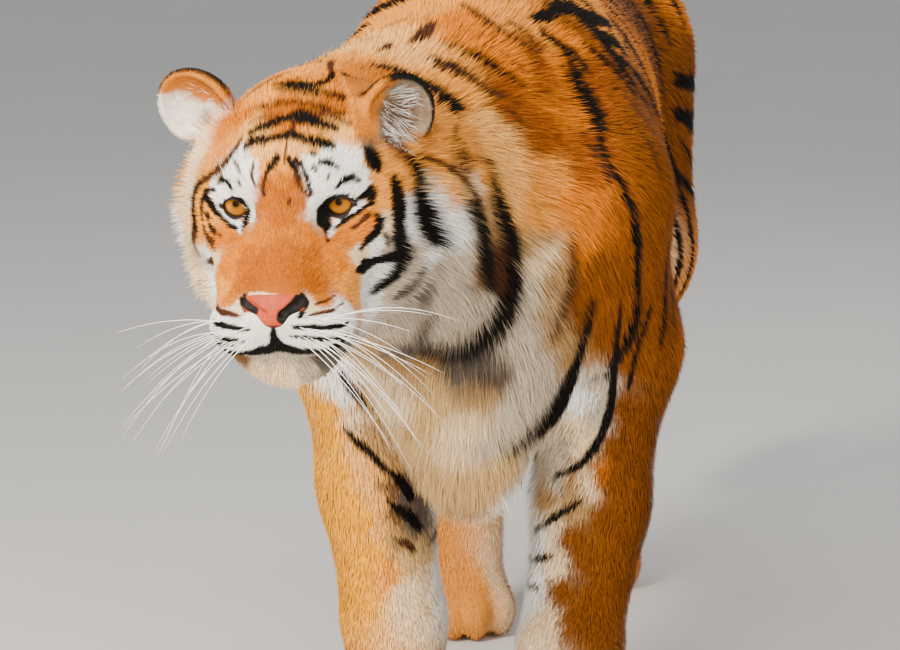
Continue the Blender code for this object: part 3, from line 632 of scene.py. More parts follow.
# Ground colours: the places of each tone, in centimetres, on a chart (described
# above the markings) or in the body. The colour between places blends.
FACE_GROUNDS = {
    "tawny": [
        (0, -3.4), (0, -1.6), (2.2, -2.8), (-2.2, -2.8), (0, .6), (0, 2.4), (2, 1.6), (-2.4, 1.6), (1.6, 3.6),
        (-2.2, 3.6), (1.7, -4.2), (-1.9, -4.2), (3.2, -3.9), (-3.4, -3.9), (4.2, -5), (-4.4, -5), (4, -2.6),
        (-4, -2.8), (-2.4, 8.8), (2.6, 8.9), (0, 9.6), (5, 8.8)],
    "orange": [
        (2.4, -.8), (-2.4, -.8), (0, 4), (5.4, -3.2), (-5.6, -3.2), (6.6, -4.6), (-6.6, -4.8), (5, -6),
        (-5.4, -6), (6.4, -2.4), (-6.6, -2.4), (8, -2.4), (-8.2, -3), (9.2, -1.2), (0, 8.2), (-5.2, 8),
        (7.4, 7.8), (-7.4, 6.8)],
    "golden": [
        (0, 5.6), (-2, 5.2), (7.2, -5.9), (-7, -6.2), (9.6, 1.6), (-8.8, -.6), (9.4, .2), (10.8, -.6),
        (10.6, 2.2), (-10.2, 1.2), (-10.8, -.8), (-10.2, -2.6), (12.5, .4), (12, 2.4), (14.4, .6), (13.2, 2.6),
        (14.8, 2.4), (16, .8), (15.6, -.8), (16.6, -3.4), (-7.6, 5.2), (-6.6, 6.4), (-9, 3.6), (9.2, 3.8),
        (8.8, 6), (3.6, 7.4)],
    "cream": [
        (3.9, -6.2), (-3.9, -6.4), (0, -14.4), (-3, -14.8), (0, -16.4), (8.4, -4.6), (-8.4, -4.8),
        (10.9, -2.6), (15, -2.4), (-12.6, 1.6), (-12.6, -1), (-13.2, -3.6), (-12.4, -6), (-12.6, -8.6),
        (-11.4, -11), (-7.8, 3.4)],
    "white": [
        (3.4, -6.9), (-3.2, -7.1), (5.4, -7.4), (-5.6, -7.6), (7.2, -7.8), (-7.2, -8), (2.2, -8.4),
        (-2.2, -8.4), (5, -8.7), (-5, -8.8), (1.6, -10), (-1.7, -10), (4.2, -10.4), (-4.2, -10.4), (6.6, -9.8),
        (-6.6, -9.8), (9.6, -5), (9.8, -8.2), (9, -9.2), (12.7, -3), (12.8, -6), (15.4, -4.2), (16.2, -7.4),
        (14.5, -10.4), (-9.6, -7.6), (-9.4, -5.4), (4.8, 5.8), (3.4, 5.4), (6.2, 5.6), (7.6, 4.8), (3.2, 3.9),
        (4.4, 3.6), (5.6, 3.4), (8.1, 3.4), (4.6, 2.4), (6.6, 2.2), (8.4, 2), (3.4, 1.4), (7, 3.9), (-4, 5.2),
        (-5.6, 5.6), (-3.6, 3.8), (-4.6, 3.4), (-5.8, 4), (-7, 4.2), (-4.4, 2.2), (-6.2, 2.6), (-8.2, 1.8)],
    "silver": [
        (0, -12.2), (2.6, -12.6), (-2.6, -12.6), (3, -15), (10.8, -5.8), (13.1, -8.6), (15.4, -13.4),
        (11, -11.2), (10.4, -14)],
    # grey and umber: painted shadow on the sides of the jaw, below the corners of the mouth
    "grey": [(4.9, -13.2), (5.8, -12.2), (4.4, -14.4)],
    "umber": [(-4.9, -13.2), (-5.6, -12)],
    "straw": [(6.8, 6.8), (3.4, 6.4), (-3, 6.4), (1.4, 6.6), (-1.4, 6.5), (-3.6, 7.3), (-4.2, 8), (4.6, 7.7)],
}
HEAD_GROUNDS = {
    "silver": [(12.6, 7, -11), (14, 10, -13), (10, 8, -16), (0, 0, -17.5), (5, 0, -16)],
    "straw": [(15.8, 11, -3)],
    "white": [(16.2, 12, -8), (-13.2, 11, -8)],
    "golden": [(15, 10, 1.8), (-13.6, 11, 0)],
    "cream": [(-10, 8, -15), (-12, 12, -12), (18, 16, -6), (-5, 0, -16)],
    "tawny": [(0, 12, 8.5)],
    "grey": [(12.5, 9, -14.5)],
}
CHEST_GROUNDS = {
    "golden": [(8, 72), (10, 70), (-11, 23.6)],
    "orange": [(13, 72), (16, 70), (14, 66)],
    # rust on the left shoulder and foreleg: painted shade of the orange on the side away from the key light
    "rust": [
        (19, 70), (22, 68), (17, 64), (19, 60), (22, 60), (13, 57), (14.4, 60), (12.2, 32), (11.4, 26),
        (14, 30), (16, 34), (18, 30), (20, 34), (16, 25), (13, 23), (17.2, 38), (19, 42), (18, 46), (21, 44),
        (17.2, 42), (15, 54), (16.4, 57), (18, 52), (20.6, 52)],
    "tan": [
        (8, 67), (10, 62), (11, 64), (10.5, 56), (3, 48), (1, 49), (-5, 52), (-9, 53), (13.3, 53), (12, 38),
        (9, 36), (12.6, 35), (-13.8, 45.4), (-13.4, 41), (-11.9, 39), (-10, 28)],
    "cream": [
        (10, 66), (-10.5, 50), (-8, 47), (-2, 44), (-1.5, 41), (1, 45.5), (12, 44), (13, 42.6), (14, 38.4),
        (10, 33), (10, 28.5), (9, 22), (-15.2, 42.6)],
    "silver": [
        (8.5, 62), (7.5, 58), (9, 57), (8, 54), (9.5, 52), (8.5, 49), (6.5, 50), (7.5, 46.5), (5, 47), (3, 42),
        (14.8, 49.5), (10.6, 42.6), (14.8, 46), (8.5, 41.5), (10, 38), (-1, 58), (3, 60)],
    # grey: painted shade below the dark crescent and under the chin, and on the inner side of the right foreleg
    "grey": [(-1, 51), (2.5, 51.4), (5, 51.4), (.6, 51.6), (-4, 56), (-9, 33), (-8.2, 30)],
    "wheat": [(-3, 50), (-4, 46), (-3, 38), (0, 37), (4, 39), (-6, 44), (-8, 42), (-6, 40), (-8.6, 25)],
    "white": [(13, 47), (8, 31.5), (8, 27.5), (7.5, 24), (-16.4, 46)],
    "tawny": [(15.4, 39)],
    "amber": [(-17, 40), (-16.3, 36), (-14.4, 30), (-13, 26), (-15.4, 33), (-17.9, 43.5)],
    "straw": [(-15.4, 39.4), (-14.8, 37.2), (-12.9, 37), (-11.8, 33), (-13.8, 34.6), (-11.6, 29)],
    # umber: painted shade on the inner side of the right foreleg
    "umber": [(-10.4, 34), (-9.6, 31)],
}
SIDE_GROUNDS = {
    "golden": [(-89, 83), (-84, 84), (-86, 80), (-84, 77), (-77, 86), (-79, 88), (-71, 75), (-48, 92)],
    "tan": [(-90, 76.6), (-84, 72), (-82, 71), (-72, 68), (-71, 57.6), (-66.4, 56), (-64.4, 53.4)],
    "umber": [(-88, 74), (-79.6, 66)],
    "cream": [(-94.6, 78), (-73, 65)],
    "white": [(-94, 75.6), (-90, 71)],
    "silver": [(-88, 68), (-86, 64), (-82, 60), (-72.6, 61.6), (-73, 56)],
    "straw": [(-78, 82), (-76, 80), (-75, 76), (-75, 72)],
    # russet and rust: painted shade of the orange on the left shoulder, the side away from the key light
    "russet": [
        (-73, 84), (-70, 80), (-68, 76), (-68, 70), (-66, 84), (-64, 88), (-60, 84), (-60.4, 90), (-55, 86),
        (-47, 78), (-50, 72), (-50, 62)],
    "rust": [
        (-67, 64.6), (-66, 60), (-64, 76), (-62, 70), (-60, 66), (-62, 64), (-60, 76), (-57, 72), (-58, 80),
        (-54, 82), (-50, 80), (-62.4, 58), (-57, 56), (-58, 62), (-61, 53.6)],
    "tawny": [(-48, 50)],
}
TOP_GROUNDS = {
    "golden": [
        (-12, -82), (-7, -64), (-6, -60), (-4, -62), (0, -78), (-2, -80), (4, -60), (0, -88), (2, -84),
        (-15, -88), (-16, -92), (-20, -96), (-8, -96), (-16, -97), (8, -59.6)],
    "straw": [(-10, -78), (-9, -70), (-4, -78)],
    "orange": [
        (-2, -64), (0, -66), (2, -66), (6, -66), (10, -66), (10, -61), (-10, -88), (-12, -93), (11, -56),
        (-20, -84), (-22, -78)],
    # rust: painted shade of the orange on the left of the back
    "rust": [(12, -53)],
}
BODY_GROUNDS = {
    "golden": [(-28, -84, 72), (-17, -66, 58)],
    "cream": [(-24, -84, 62), (-2, -72, 38), (-17, -62, 46), (0, -30, 41), (0, 68, 62)],
    "tan": [(-12, -86, 58), (0, -66, 32)],
    "silver": [(-6, -84, 62)],
    "orange": [(-22, -60, 66), (0, -45, 95), (0, 0, 91), (0, 40, 93)],
    # rust: painted shade of the orange on the left haunch, the side away from the key light
    "rust": [(20, 45, 72), (19, 36, 64), (19, 30, 76)],
    "white": [(0, 10, 44), (0, 35, 50)],
}
BODY_GROUND_PAIRS = {
    "rust": [(20, -40, 70)],
    "orange": [(20, -20, 68), (19, 10, 68), (18, 0, 54), (16, 50, 84), (18, 45, 62), (10, 66, 72)],
    "cream": [(15, -10, 46), (15, 20, 50), (5, 62, 62)],
    "white": [(6, 40, 54)],
}

# Markings, painted in this order: chart, tone, and for each stroke its widths and
# the two places of every point in turn, in centimetres. A chart is a pair of axes
# that a stroke is laid on the body from. "face" lies across and up the head,
# "side" along and up the left flank, "chest" across and up the front, "top"
# across and along the back.
MARKINGS = [
    # white round the eyes and on the muzzle
    ("face", "white", [
        ((.9, .8, .6), (-8, .9, -8.6, 1.6, -7.6, 2.2, -6, 2.1, -4.6, 2.2, -4, 1.4, -3.8, .2, -4.1, -.7)),
        ((.9, .8, .6), (8.6, 1.7, 7.4, 2.3, 6, 2.4, 4.6, 2.5, 3.7, 1.8, 3.4, .6, 3.7, -.4)),
        ((.6, .8, .5), (-8, -.1, -7, -.8, -6, -1.4, -5.3, -1.9)),
        ((.6, .7, .5), (8.2, .2, 7.4, -.4, 6.4, -.9, 5.5, -1.4, 5, -2)),
        ((2.2, 2, 2.4), (-2.6, -7.9, -5, -8.6, -6.8, -9.4)),
        ((2.2, 2, 2.4), (2.6, -7.9, 5, -8.6, 6.8, -9.4)),
    ]),
    ("face", "cream", [
        ((.1, .2, .1), (-2.8, -4.7, -1.2, -4.45, .4, -4.5)),
    ]),
    # forehead bars
    ("face", "black", [
        ((.35, .5, .45, .3, .6), (-4.65, 6.35, -3.85, 6.85, -2.2, 7.2, -1.2, 7.35, .4, 7.7)),
        ((.6, .45, .5, .6, .3), (.5, 7.7, 1.4, 7.4, 2.5, 7.2, 4.4, 6.65, 5.4, 6.3)),
        ((.25, .45, .5, .4), (-4.4, 7.3, -3.3, 7.75, -1.2, 8.4, .5, 8.75)),
        ((.7, .8, .55, .3), (.5, 8.7, 1.6, 8.65, 3.5, 8.15, 5.5, 7.4)),
    ]),
    ("face", "brown", [
        ((.15, .22, .15), (-4.6, 7.8, -3, 8.45, -1.2, 8.85)),
    ]),
    ("face", "black", [
        ((.15, .28, .25, .3, .15), (-4.6, 8.55, -2, 9.25, .9, 9.5, 3.2, 9.1, 6, 8.2)),
        ((.2, .4, .4, .2), (-2.4, 9.8, 0, 10.05, 2.6, 9.9, 6, 9)),
    ]),
    ("face", "brown", [
        ((.15, .25, .15), (3, 8.9, 4.8, 8.3, 6.9, 7.3)),
        ((.3, .2, .08), (.6, 8.5, .8, 7.9, .5, 7.6)),
        ((.1, .1, .03), (.25, 7.4, .2, 6.4, .1, 5.5)),
    ]),
    # inner brows
    ("face", "black", [
        ((.5, .45, .12), (-.7, 5.9, -1.5, 5.2, -2, 4.3)),
        ((.4, .55, .35, .12), (.6, 5.85, 1.15, 5.35, 1.6, 4.7, 2, 4.1)),
        ((.35, .35), (1.4, 5.75, 1.9, 5.4)),
        ((.22, .25, .32, .25), (1.95, 5.6, 2.45, 4.6, 2.85, 3.5, 3.1, 2.4)),
    ]),
    ("face", "brown", [
        ((.2, .25, .15), (1.4, 4.5, 2, 3.2, 2.9, 2.2)),
        ((.12, .2, .12), (-3.4, 5.3, -3.6, 4.4, -3.2, 3.3)),
        ((.12, .18, .1), (-2, 4, -2.3, 3.1, -2.2, 2.4)),
    ]),
    ("face", "black", [
        ((.16, .2), (2.9, 6.25, 3.5, 6)),
        ((.25, .42, .35, .15), (4, 5.35, 4.85, 5.2, 5.5, 4.8, 6, 4.4)),
    ]),
    ("face", "grey", [
        ((.25, .25), (3.3, 5, 3.6, 4.7)),
        ((.25, .2), (-5.7, 5, -5.1, 4.5)),
        ((.2, .2), (-5.2, 3.5, -5, 3.2)),
        ((.2, .2), (5, 4.1, 4.9, 3.7)),
    ]),
    ("face", "black", [
        ((.2, .5, .5, .4, .15), (5.8, 2.5, 6.4, 3.15, 7.1, 3.35, 7.7, 3, 8.1, 2.5)),
        ((.2, .5, .45, .12), (-7.9, 2.5, -7.3, 3.15, -6.8, 3.25, -6.1, 2.4)),
    ]),
    ("face", "brown", [
        ((.2, .2), (-8.3, 3.5, -7.8, 4.2)),
    ]),
    # temple and cheek, right side of the face
    ("face", "brown", [
        ((.2, .35, .35, .4), (-5.1, 6.9, -6.8, 4.8, -8.9, 2.7, -10.8, .85)),
    ]),
    ("face", "black", [
        ((.4, .5, .6, .7, .4), (-10.8, .85, -11.5, -.4, -11.5, -1.6, -11, -2.8, -11.4, -4.4)),
    ]),
    ("face", "brown", [
        ((.6, .7, .3), (-11.2, -3.6, -11.5, -5.2, -11.2, -7.2)),
    ]),
    ("face", "black", [
        ((.2, .4, .4, .2), (-8.4, 1.6, -9.9, .5, -10.2, -.7, -10, -1.7)),
        ((.35, .35), (-8.9, -1.8, -8.3, -2.3)),
    ]),
    ("face", "brown", [
        ((.22, .2), (-9.2, -.9, -9, -1.2)),
        ((.3, .35, .2), (-9.7, -2.2, -9.1, -3.1, -8.3, -3.9)),
    ]),
    ("face", "black", [
        ((.5, .6, .3), (-9.6, .3, -8.3, -.4, -7.3, -1.1)),
        ((.3, .28, .15), (-7.5, -1, -6.5, -1.7, -5.7, -1.95)),
    ]),
    ("face", "brown", [
        ((.5, .6, .3), (-8.6, -5.2, -9.4, -6.5, -10.1, -7.6)),
    ]),
    ("face", "black", [
        ((.15, .2), (-9.6, -1, -9.3, -1.4)),
        ((.15, .2), (-8.7, -2.9, -8.4, -3.2)),
    ]),
    ("face", "brown", [
        ((.1, .15), (-10.4, 2.2, -10.2, 1.5)),
        ((.1, .1), (-7.7, -2.3, -7.5, -2.6)),
        ((.1, .1), (.6, 1.6, .8, 2.2)),
    ]),
    # temple and cheek, left side of the face
    ("face", "black", [
        ((.4, .8, .8, .5), (8.1, .8, 8.9, 1.1, 9.4, .9, 9.3, 0)),
        ((.35, .45), (9.1, 1.4, 9.5, .6)),
        ((.25, .32, .35, .12), (9, -.2, 8, -.55, 6.6, -1.2, 5.3, -1.9)),
    ]),
    ("face", "brown", [
        ((.2, .28), (8.2, -1.55, 9, -1.1)),
        ((.15, .2), (7.2, -2, 7.8, -1.8)),
    ]),
    ("face", "black", [
        ((.3, .8, .85, .7, .3), (9.8, -1.4, 10.2, -2.1, 10, -2.8, 9.2, -3.3, 8.3, -4)),
    ]),
    ("face", "brown", [
        ((.2, .4), (7.6, 6.7, 8.5, 5.5)),
    ]),
    ("face", "black", [
        ((.6, 1, .9, .4), (8.7, 5.2, 9.3, 3.9, 9.7, 3.2, 10, 2.6)),
    ]),
    ("face", "brown", [
        ((.3, .5, .6, .6), (8.4, 7.4, 10.2, 5.3, 11.6, 3.5, 13, 1.6)),
    ]),
    ("face", "black", [
        ((.7, .9, 1.2, 1.6, 1.8, 1.5, .8),
         (13, 1.6, 13.6, .3, 13.8, -2, 14.2, -4.4, 14.7, -6.5, 15.2, -8.4, 15.8, -9.8)),
        ((.5, .95, 1.1, 1, 1.1, 1.5), (11.3, 1.2, 11.7, -.4, 11.9, -1.9, 11.85, -3.6, 11.8, -5.4, 12, -7.8)),
        ((1.5, 1.2, 1, .8, .4), (11.9, -7.05, 10.9, -7.1, 9.6, -6.75, 8.8, -6.2, 8.4, -5.4)),
        ((1.7, 1.5, 1.1, .6), (12, -7.9, 11.5, -9.1, 10.4, -9.8, 8.9, -10.1)),
        ((.3, .45, .5), (8, -5.6, 8.5, -6.5, 8.9, -7.1)),
    ]),
    ("face", "grey", [
        ((.6, 1.3, 1, .4), (13.6, -10.9, 12.5, -12, 11.7, -12.6, 10.8, -12.4)),
        ((.2, .35, .15), (10.6, -3.6, 10.8, -4.4, 10.7, -5.2)),
    ]),
    # whisker rows
    ("face", "brown", [
        ((.2, .32, .2), (-7.1, -7.4, -5.6, -6.85, -4.2, -6.8)),
    ]),
    ("face", "black", [
        ((.25, .36, .3, .12), (-7.8, -8.4, -6.4, -7.9, -4.4, -7.95, -2.7, -8.1)),
        ((.22, .32, .3, .12), (-7.8, -9.8, -6.4, -9.4, -5, -9.3, -3.6, -9.3)),
    ]),
    ("face", "grey", [
        ((.2, .2, .1), (-7.3, -10.5, -6, -10.1, -4.6, -10)),
    ]),
    ("face", "brown", [
        ((.02, .12, .12, .02), (3.4, -6.9, 4.6, -6.8, 5.9, -6.95, 7.1, -7.3)),
        ((.01, .04, .01), (4.4, -6.05, 5.2, -6.2, 6.1, -6.5)),
    ]),
    ("face", "black", [
        ((.15, .36, .32, .3, .15), (2.2, -7.9, 3.5, -7.85, 4.9, -8.05, 6.4, -8.35, 7.6, -8.8)),
        ((.12, .26, .3, .3, .15), (1.7, -9, 3, -8.95, 4.2, -9.2, 5.6, -9.45, 7, -9.95)),
    ]),
    # lips, under the nose and corners of the mouth
    ("face", "black", [
        # painted shade by the nostrils, on the left with the shadow cast by the wing of the nose
        ((.2, .4, .5, .4), (3, -4.9, 3.5, -5.2, 3.5, -5.9, 2.9, -6.7)),
        ((.2, .3, .2), (-3.4, -5, -3.9, -5.5, -3.2, -6.2)),
        ((.2, .35, .7, 1.3), (-.1, -7.5, -.1, -8.6, -.1, -9.4, 0, -10)),
        ((.5, 1, .6), (-1.6, -10.9, 0, -10.4, 1.8, -10.7)),
        # the left corner of the mouth: black lip, with a painted shadow under it
        ((.3, .9, .9, .4), (3.2, -10.7, 4.2, -11.2, 5.2, -11.8, 6, -12.6)),
        ((.5, .7, .5, .3), (-.1, -10.2, -1.3, -10.9, -2.8, -11.5, -4.4, -11.9)),
        ((.5, .7, .5, .3), (.1, -10.2, 1.4, -10.9, 2.8, -11.4, 4.4, -11.9)),
        ((.8, 1.3, 1.1, 1.3, .8), (-3.4, -11.4, -1.4, -11, 0, -10.7, 1.6, -11, 3.4, -11.4)),
        ((.8, 1.1, .9, .4), (3.2, -11.4, 5, -11.5, 6.4, -11.1, 7.4, -10.2)),
        ((.7, .9, .7, .3), (-3.2, -11.4, -4.8, -11.5, -6.2, -11, -7, -10.3)),
    ]),
    # crown and neck
    ("top", "black", [
        ((.5, 1, .9, .6, .3), (-19, -94.4, -16.8, -95.4, -14.4, -95.8, -12.9, -94.2, -13.2, -91)),
    ]),
    ("top", "brown", [
        ((.7, .6, .3), (-13.2, -91.5, -13.6, -88, -13.9, -84)),
        ((.6, 1.2, .6), (-11.6, -92, -10, -92.4, -8.6, -92)),
        ((.5, .9, .5), (-22.5, -93, -20, -91.8, -17.6, -91)),
        ((.6, 1.4, 1.4), (-9.4, -84.6, -7.5, -84, -5.5, -83.4)),
    ]),
    ("top", "black", [
        ((1.2, 1.7, 1.6), (-6, -83.6, -3, -82.7, 0, -81.8)),
    ]),
    ("side", "black", [
        ((1.5, 1.8, 1.5, .5), (-84, 88.8, -82.2, 86.8, -80.8, 85.2, -79.8, 83.8)),
    ]),
    ("top", "black", [
        ((.7, 1.5, 1.5), (-3.2, -76.2, -1, -75.3, 1.4, -74.7)),
    ]),
    ("side", "brown", [
        ((1.4, 1.4, 1, .4), (-77, 88.6, -75.4, 87.4, -74, 85.6, -72.4, 84.8)),
    ]),
    ("top", "black", [
        ((.5, 1, .9), (-.2, -71.4, 2, -70.7, 4.2, -70.2)),
    ]),
    ("side", "black", [
        ((.9, 1, .7, .3), (-71.2, 90.4, -70.6, 89, -69.9, 87.2, -68.8, 85.4)),
    ]),
    ("top", "brown", [
        ((.8, 1.8, 1), (-6, -73.5, -4.8, -70, -4, -66.5)),
        ((.5, .9, .4), (-9, -79, -8.4, -77, -8.2, -75)),
    ]),
    ("side", "brown", [
        ((.3, .5, .3), (-68.3, 90, -67.6, 88.2, -67.2, 86.8)),
        ((.25, .4, .2), (-73.2, 83.4, -72.2, 82.3, -71.6, 81.2)),
    ]),
    ("top", "brown", [
        ((.5, 1, 1, .5), (-1.4, -60, 1, -62.2, 3.4, -63.6, 6, -63.4)),
    ]),
    ("side", "brown", [
        ((.5, .7, .5, .25), (-64, 92, -63, 90.4, -62.8, 88.6, -63.2, 87)),
    ]),
    ("top", "black", [
        ((.6, .9, .9, .6), (8, -57.6, 10.4, -58.6, 12.4, -61, 14.6, -63.4)),
        ((.8, 1.5, 1.2, .7), (6.6, -57, 8.2, -54.2, 9.4, -51.6, 11.4, -49.6)),
    ]),
    ("top", "brown", [
        ((.5, .8, .4), (4, -61, 6, -60.6, 8, -61.6)),
    ]),
    # shoulder
    ("side", "black", [
        ((.4, .7, .8, .6), (-60.6, 87, -61.6, 84.8, -63, 82.6, -64.6, 80.4)),
        ((.6, .8, .7, .6, .4), (-58.2, 90.5, -58.8, 87.8, -60.2, 85, -62.6, 82, -65.4, 79.4)),
        ((.5, .35, .4, .5, .75), (-64.8, 80.2, -66.4, 77.6, -66.8, 75, -66.2, 71.8, -64.9, 68)),
        ((.75, .6, .6, .7, .4, .2), (-64.9, 68, -63.2, 64.6, -61.2, 60.6, -59.4, 56.4, -59.4, 52.6, -60.2, 49.6)),
    ]),
    ("chest", "black", [
        ((.2, .4, .5, .3), (20.9, 58, 20, 55, 19.2, 52.4, 18.4, 48.6)),
    ]),
    ("side", "brown", [
        ((.2, .35, .3), (-66, 80, -67, 77.2, -67.2, 74.6)),
    ]),
    ("chest", "black", [
        ((.3, .5, .8, .8, .9, .8, .4), (17.6, 59, 17.1, 55, 16.6, 50, 16.2, 46, 15.2, 43, 13.2, 40.4, 10, 38.7)),
    ]),
    # breast bands and the dark crescent of the neck
    ("chest", "brown", [
        ((.3, .6, .9, .9), (12.6, 68.4, 12.8, 65.6, 12.4, 62.8, 11.8, 60.4)),
        ((.6, .8, .4), (12, 61, 11, 58, 10.2, 55.4)),
    ]),
    ("chest", "black", [
        ((.5, .8, 1, 1.5, 2, 1.8, .7), (14.5, 59.6, 13.8, 56.6, 12.6, 52.4, 11.2, 49, 9.6, 45.6, 7.6, 43.4, 5, 41.4)),
    ]),
    ("face", "brown", [
        ((.5, .6, .7, .8), (14.8, 3.4, 16.2, 1.4, 17.2, -.7, 18.2, -3)),
    ]),
    ("side", "brown", [
        ((.5, .7, .9, 1.2), (-94, 80.6, -91, 78.6, -88.4, 76, -86.2, 73.4)),
    ]),
    ("chest", "black", [
        ((.9, 1.3, 1.3, 1.6), (2.6, 74.6, 3.5, 71.4, 3.4, 67.6, 4, 63.4)),
    ]),
    ("chest", "brown", [
        ((.3, .5, .7), (2.6, 79.4, 4, 77.6, 4.4, 75)),
    ]),
    ("chest", "black", [
        ((.8, 1.5, 2, 2.3, 2.6, 2.8, 2.4, 1.6, .6),
         (4.3, 75.4, 5.2, 71.6, 6, 67.6, 6, 63.6, 5.2, 59.4, 3.2, 56.6, 0, 54.8, -3, 54.8, -5.4, 56.2)),
    ]),
    ("chest", "brown", [
        ((.8, 1.2, .8), (4.9, 68.6, 4.9, 65, 4.7, 62.2)),
    ]),
    # painted shadow under the chin, on the throat
    ("chest", "grey", [
        ((.6, 1.2, .6), (-2, 61, -3.6, 58.6, -4.8, 56)),
    ]),
    ("chest", "brown", [
        ((.3, .6, .3), (-11.2, 53.4, -9.4, 51, -8.2, 48.8)),
        ((.3, .6, .3), (2, 51.6, 4, 50.8, 6, 51.4)),
    ]),
    # inner sides of the forelegs
    ("chest", "black", [
        ((.3, .9, 1.1, .8), (-11.6, 37.2, -10.2, 36, -9, 34.6, -8.2, 33)),
        ((.3, .9, 1.2, .8), (-11, 32.8, -9.6, 31.8, -8.4, 30.6, -7.4, 29)),
    ]),
    ("chest", "brown", [
        ((.2, .7, .8, .4), (-10.4, 28, -9.2, 27.4, -8, 26.4)),
    ]),
    ("chest", "black", [
        ((.4, 1.1, .5), (-16.5, 48.5, -15, 46.4, -13.6, 44.5)),
        ((.4, .9, .9, .4), (-16.2, 41.6, -14.4, 39.8, -12.6, 38.2, -10.9, 36.2)),
        ((.3, .8, .8, .3), (13.2, 36.2, 10.5, 34.3, 7.5, 32)),
        ((.3, .8, .3), (10, 29.8, 8.6, 29.2, 7.2, 28.6)),
    ]),
    ("chest", "brown", [
        ((.2, .4, .2), (8.4, 26, 7.4, 25.8, 6.6, 25.8)),
    ]),
    # tear lines
    ("face", "black", [
        ((.7, 1.2, 1.3, .9, .2), (4.8, .9, 4.3, .3, 4.2, -.6, 4.5, -1.3, 5, -2.2)),
        ((.3, .35, .45, .1), (-4.3, .3, -4.5, -.6, -4.8, -1.3, -5.1, -2)),
        ((.2, .4, .4, .2), (-7.1, .8, -6.3, 1.4, -5.2, 1.4, -4.4, .7)),
        ((.4, .65, .6, .3), (4.6, 1, 5.6, 1.45, 6.6, 1.3, 7.6, .7)),
    ]),
    # flank where it turns away, and the back
    ("side", "black", [
        ((.8, 2, 2, 1.4, .8), (-51.6, 93.2, -49.4, 92.2, -47, 91.2, -44.4, 90.4, -42.4, 90)),
        ((.8, 2.2, 2, 1.2), (-50, 89.4, -48, 88.6, -46.6, 87.6, -45, 86.8)),
        ((.6, 1.4, 1.4, .8), (-51, 87.4, -49, 86, -47.6, 83.4, -46.8, 80)),
        ((.6, 1.3, 1.2, .6), (-47, 84.6, -45.6, 81.6, -45, 77, -44.6, 72)),
        ((.5, 1.3, 1.1, .6), (-54.6, 88.8, -54, 86.8, -53.6, 85, -53.8, 82.6)),
    ]),
    ("side", "brown", [
        ((.3, .9, .4), (-52, 83.8, -51, 82.2, -49.6, 81.2)),
    ]),
    ("side", "black", [
        ((.5, 1, .8), (-57.8, 90, -57.4, 88.2, -58.2, 86.2)),
    ]),
    ("side", "brown", [
        ((.3, .6, .3), (-56.4, 84, -56.8, 81.4, -57.6, 78.6)),
        ((.3, .5, .3), (-60.6, 79.6, -61.4, 77, -61.6, 73.8)),
    ]),
    ("side", "black", [
        ((.4, .9, .9, .8, .3), (-56.6, 77, -55, 72, -53.4, 66, -52.8, 60, -53.4, 55)),
        ((1.2, 2.6, 2.6, 2, .8), (-43.4, 87, -42.8, 80, -42.6, 72, -43, 64, -44, 57)),
        ((.3, .7, .8, .4), (-57.2, 66, -56.2, 62, -55.6, 58, -56.2, 53)),
    ]),
]


def noise_at(points, scale, seed=0):
    """Smooth noise from -1 to 1 at points, with features about scale across."""
    q = points / scale + seed * 17.31
    cell = np.floor(q).astype(np.int64)
    t = q - cell
    t = t * t * (3 - 2 * t)
    total = np.zeros(len(points))
    for i in (0, 1):
        for j in (0, 1):
            for k in (0, 1):
                n = (cell[:, 0] + i) * 374761393 + (cell[:, 1] + j) * 668265263 + (cell[:, 2] + k) * 2147483647
                n = (n ^ (n >> 13)) * 1274126177
                value = ((n ^ (n >> 16)) & 0xFFFF) / 32767.5 - 1
                w = np.abs(1 - i - t[:, 0]) * np.abs(1 - j - t[:, 1]) * np.abs(1 - k - t[:, 2])
                total += value * w
    return total


def sided(legs):
    """Each leg of a pair, with 1 for the left and -1 for the right one."""
    return [(1 if name == "left" else -1, leg) for name, leg in legs.items()]


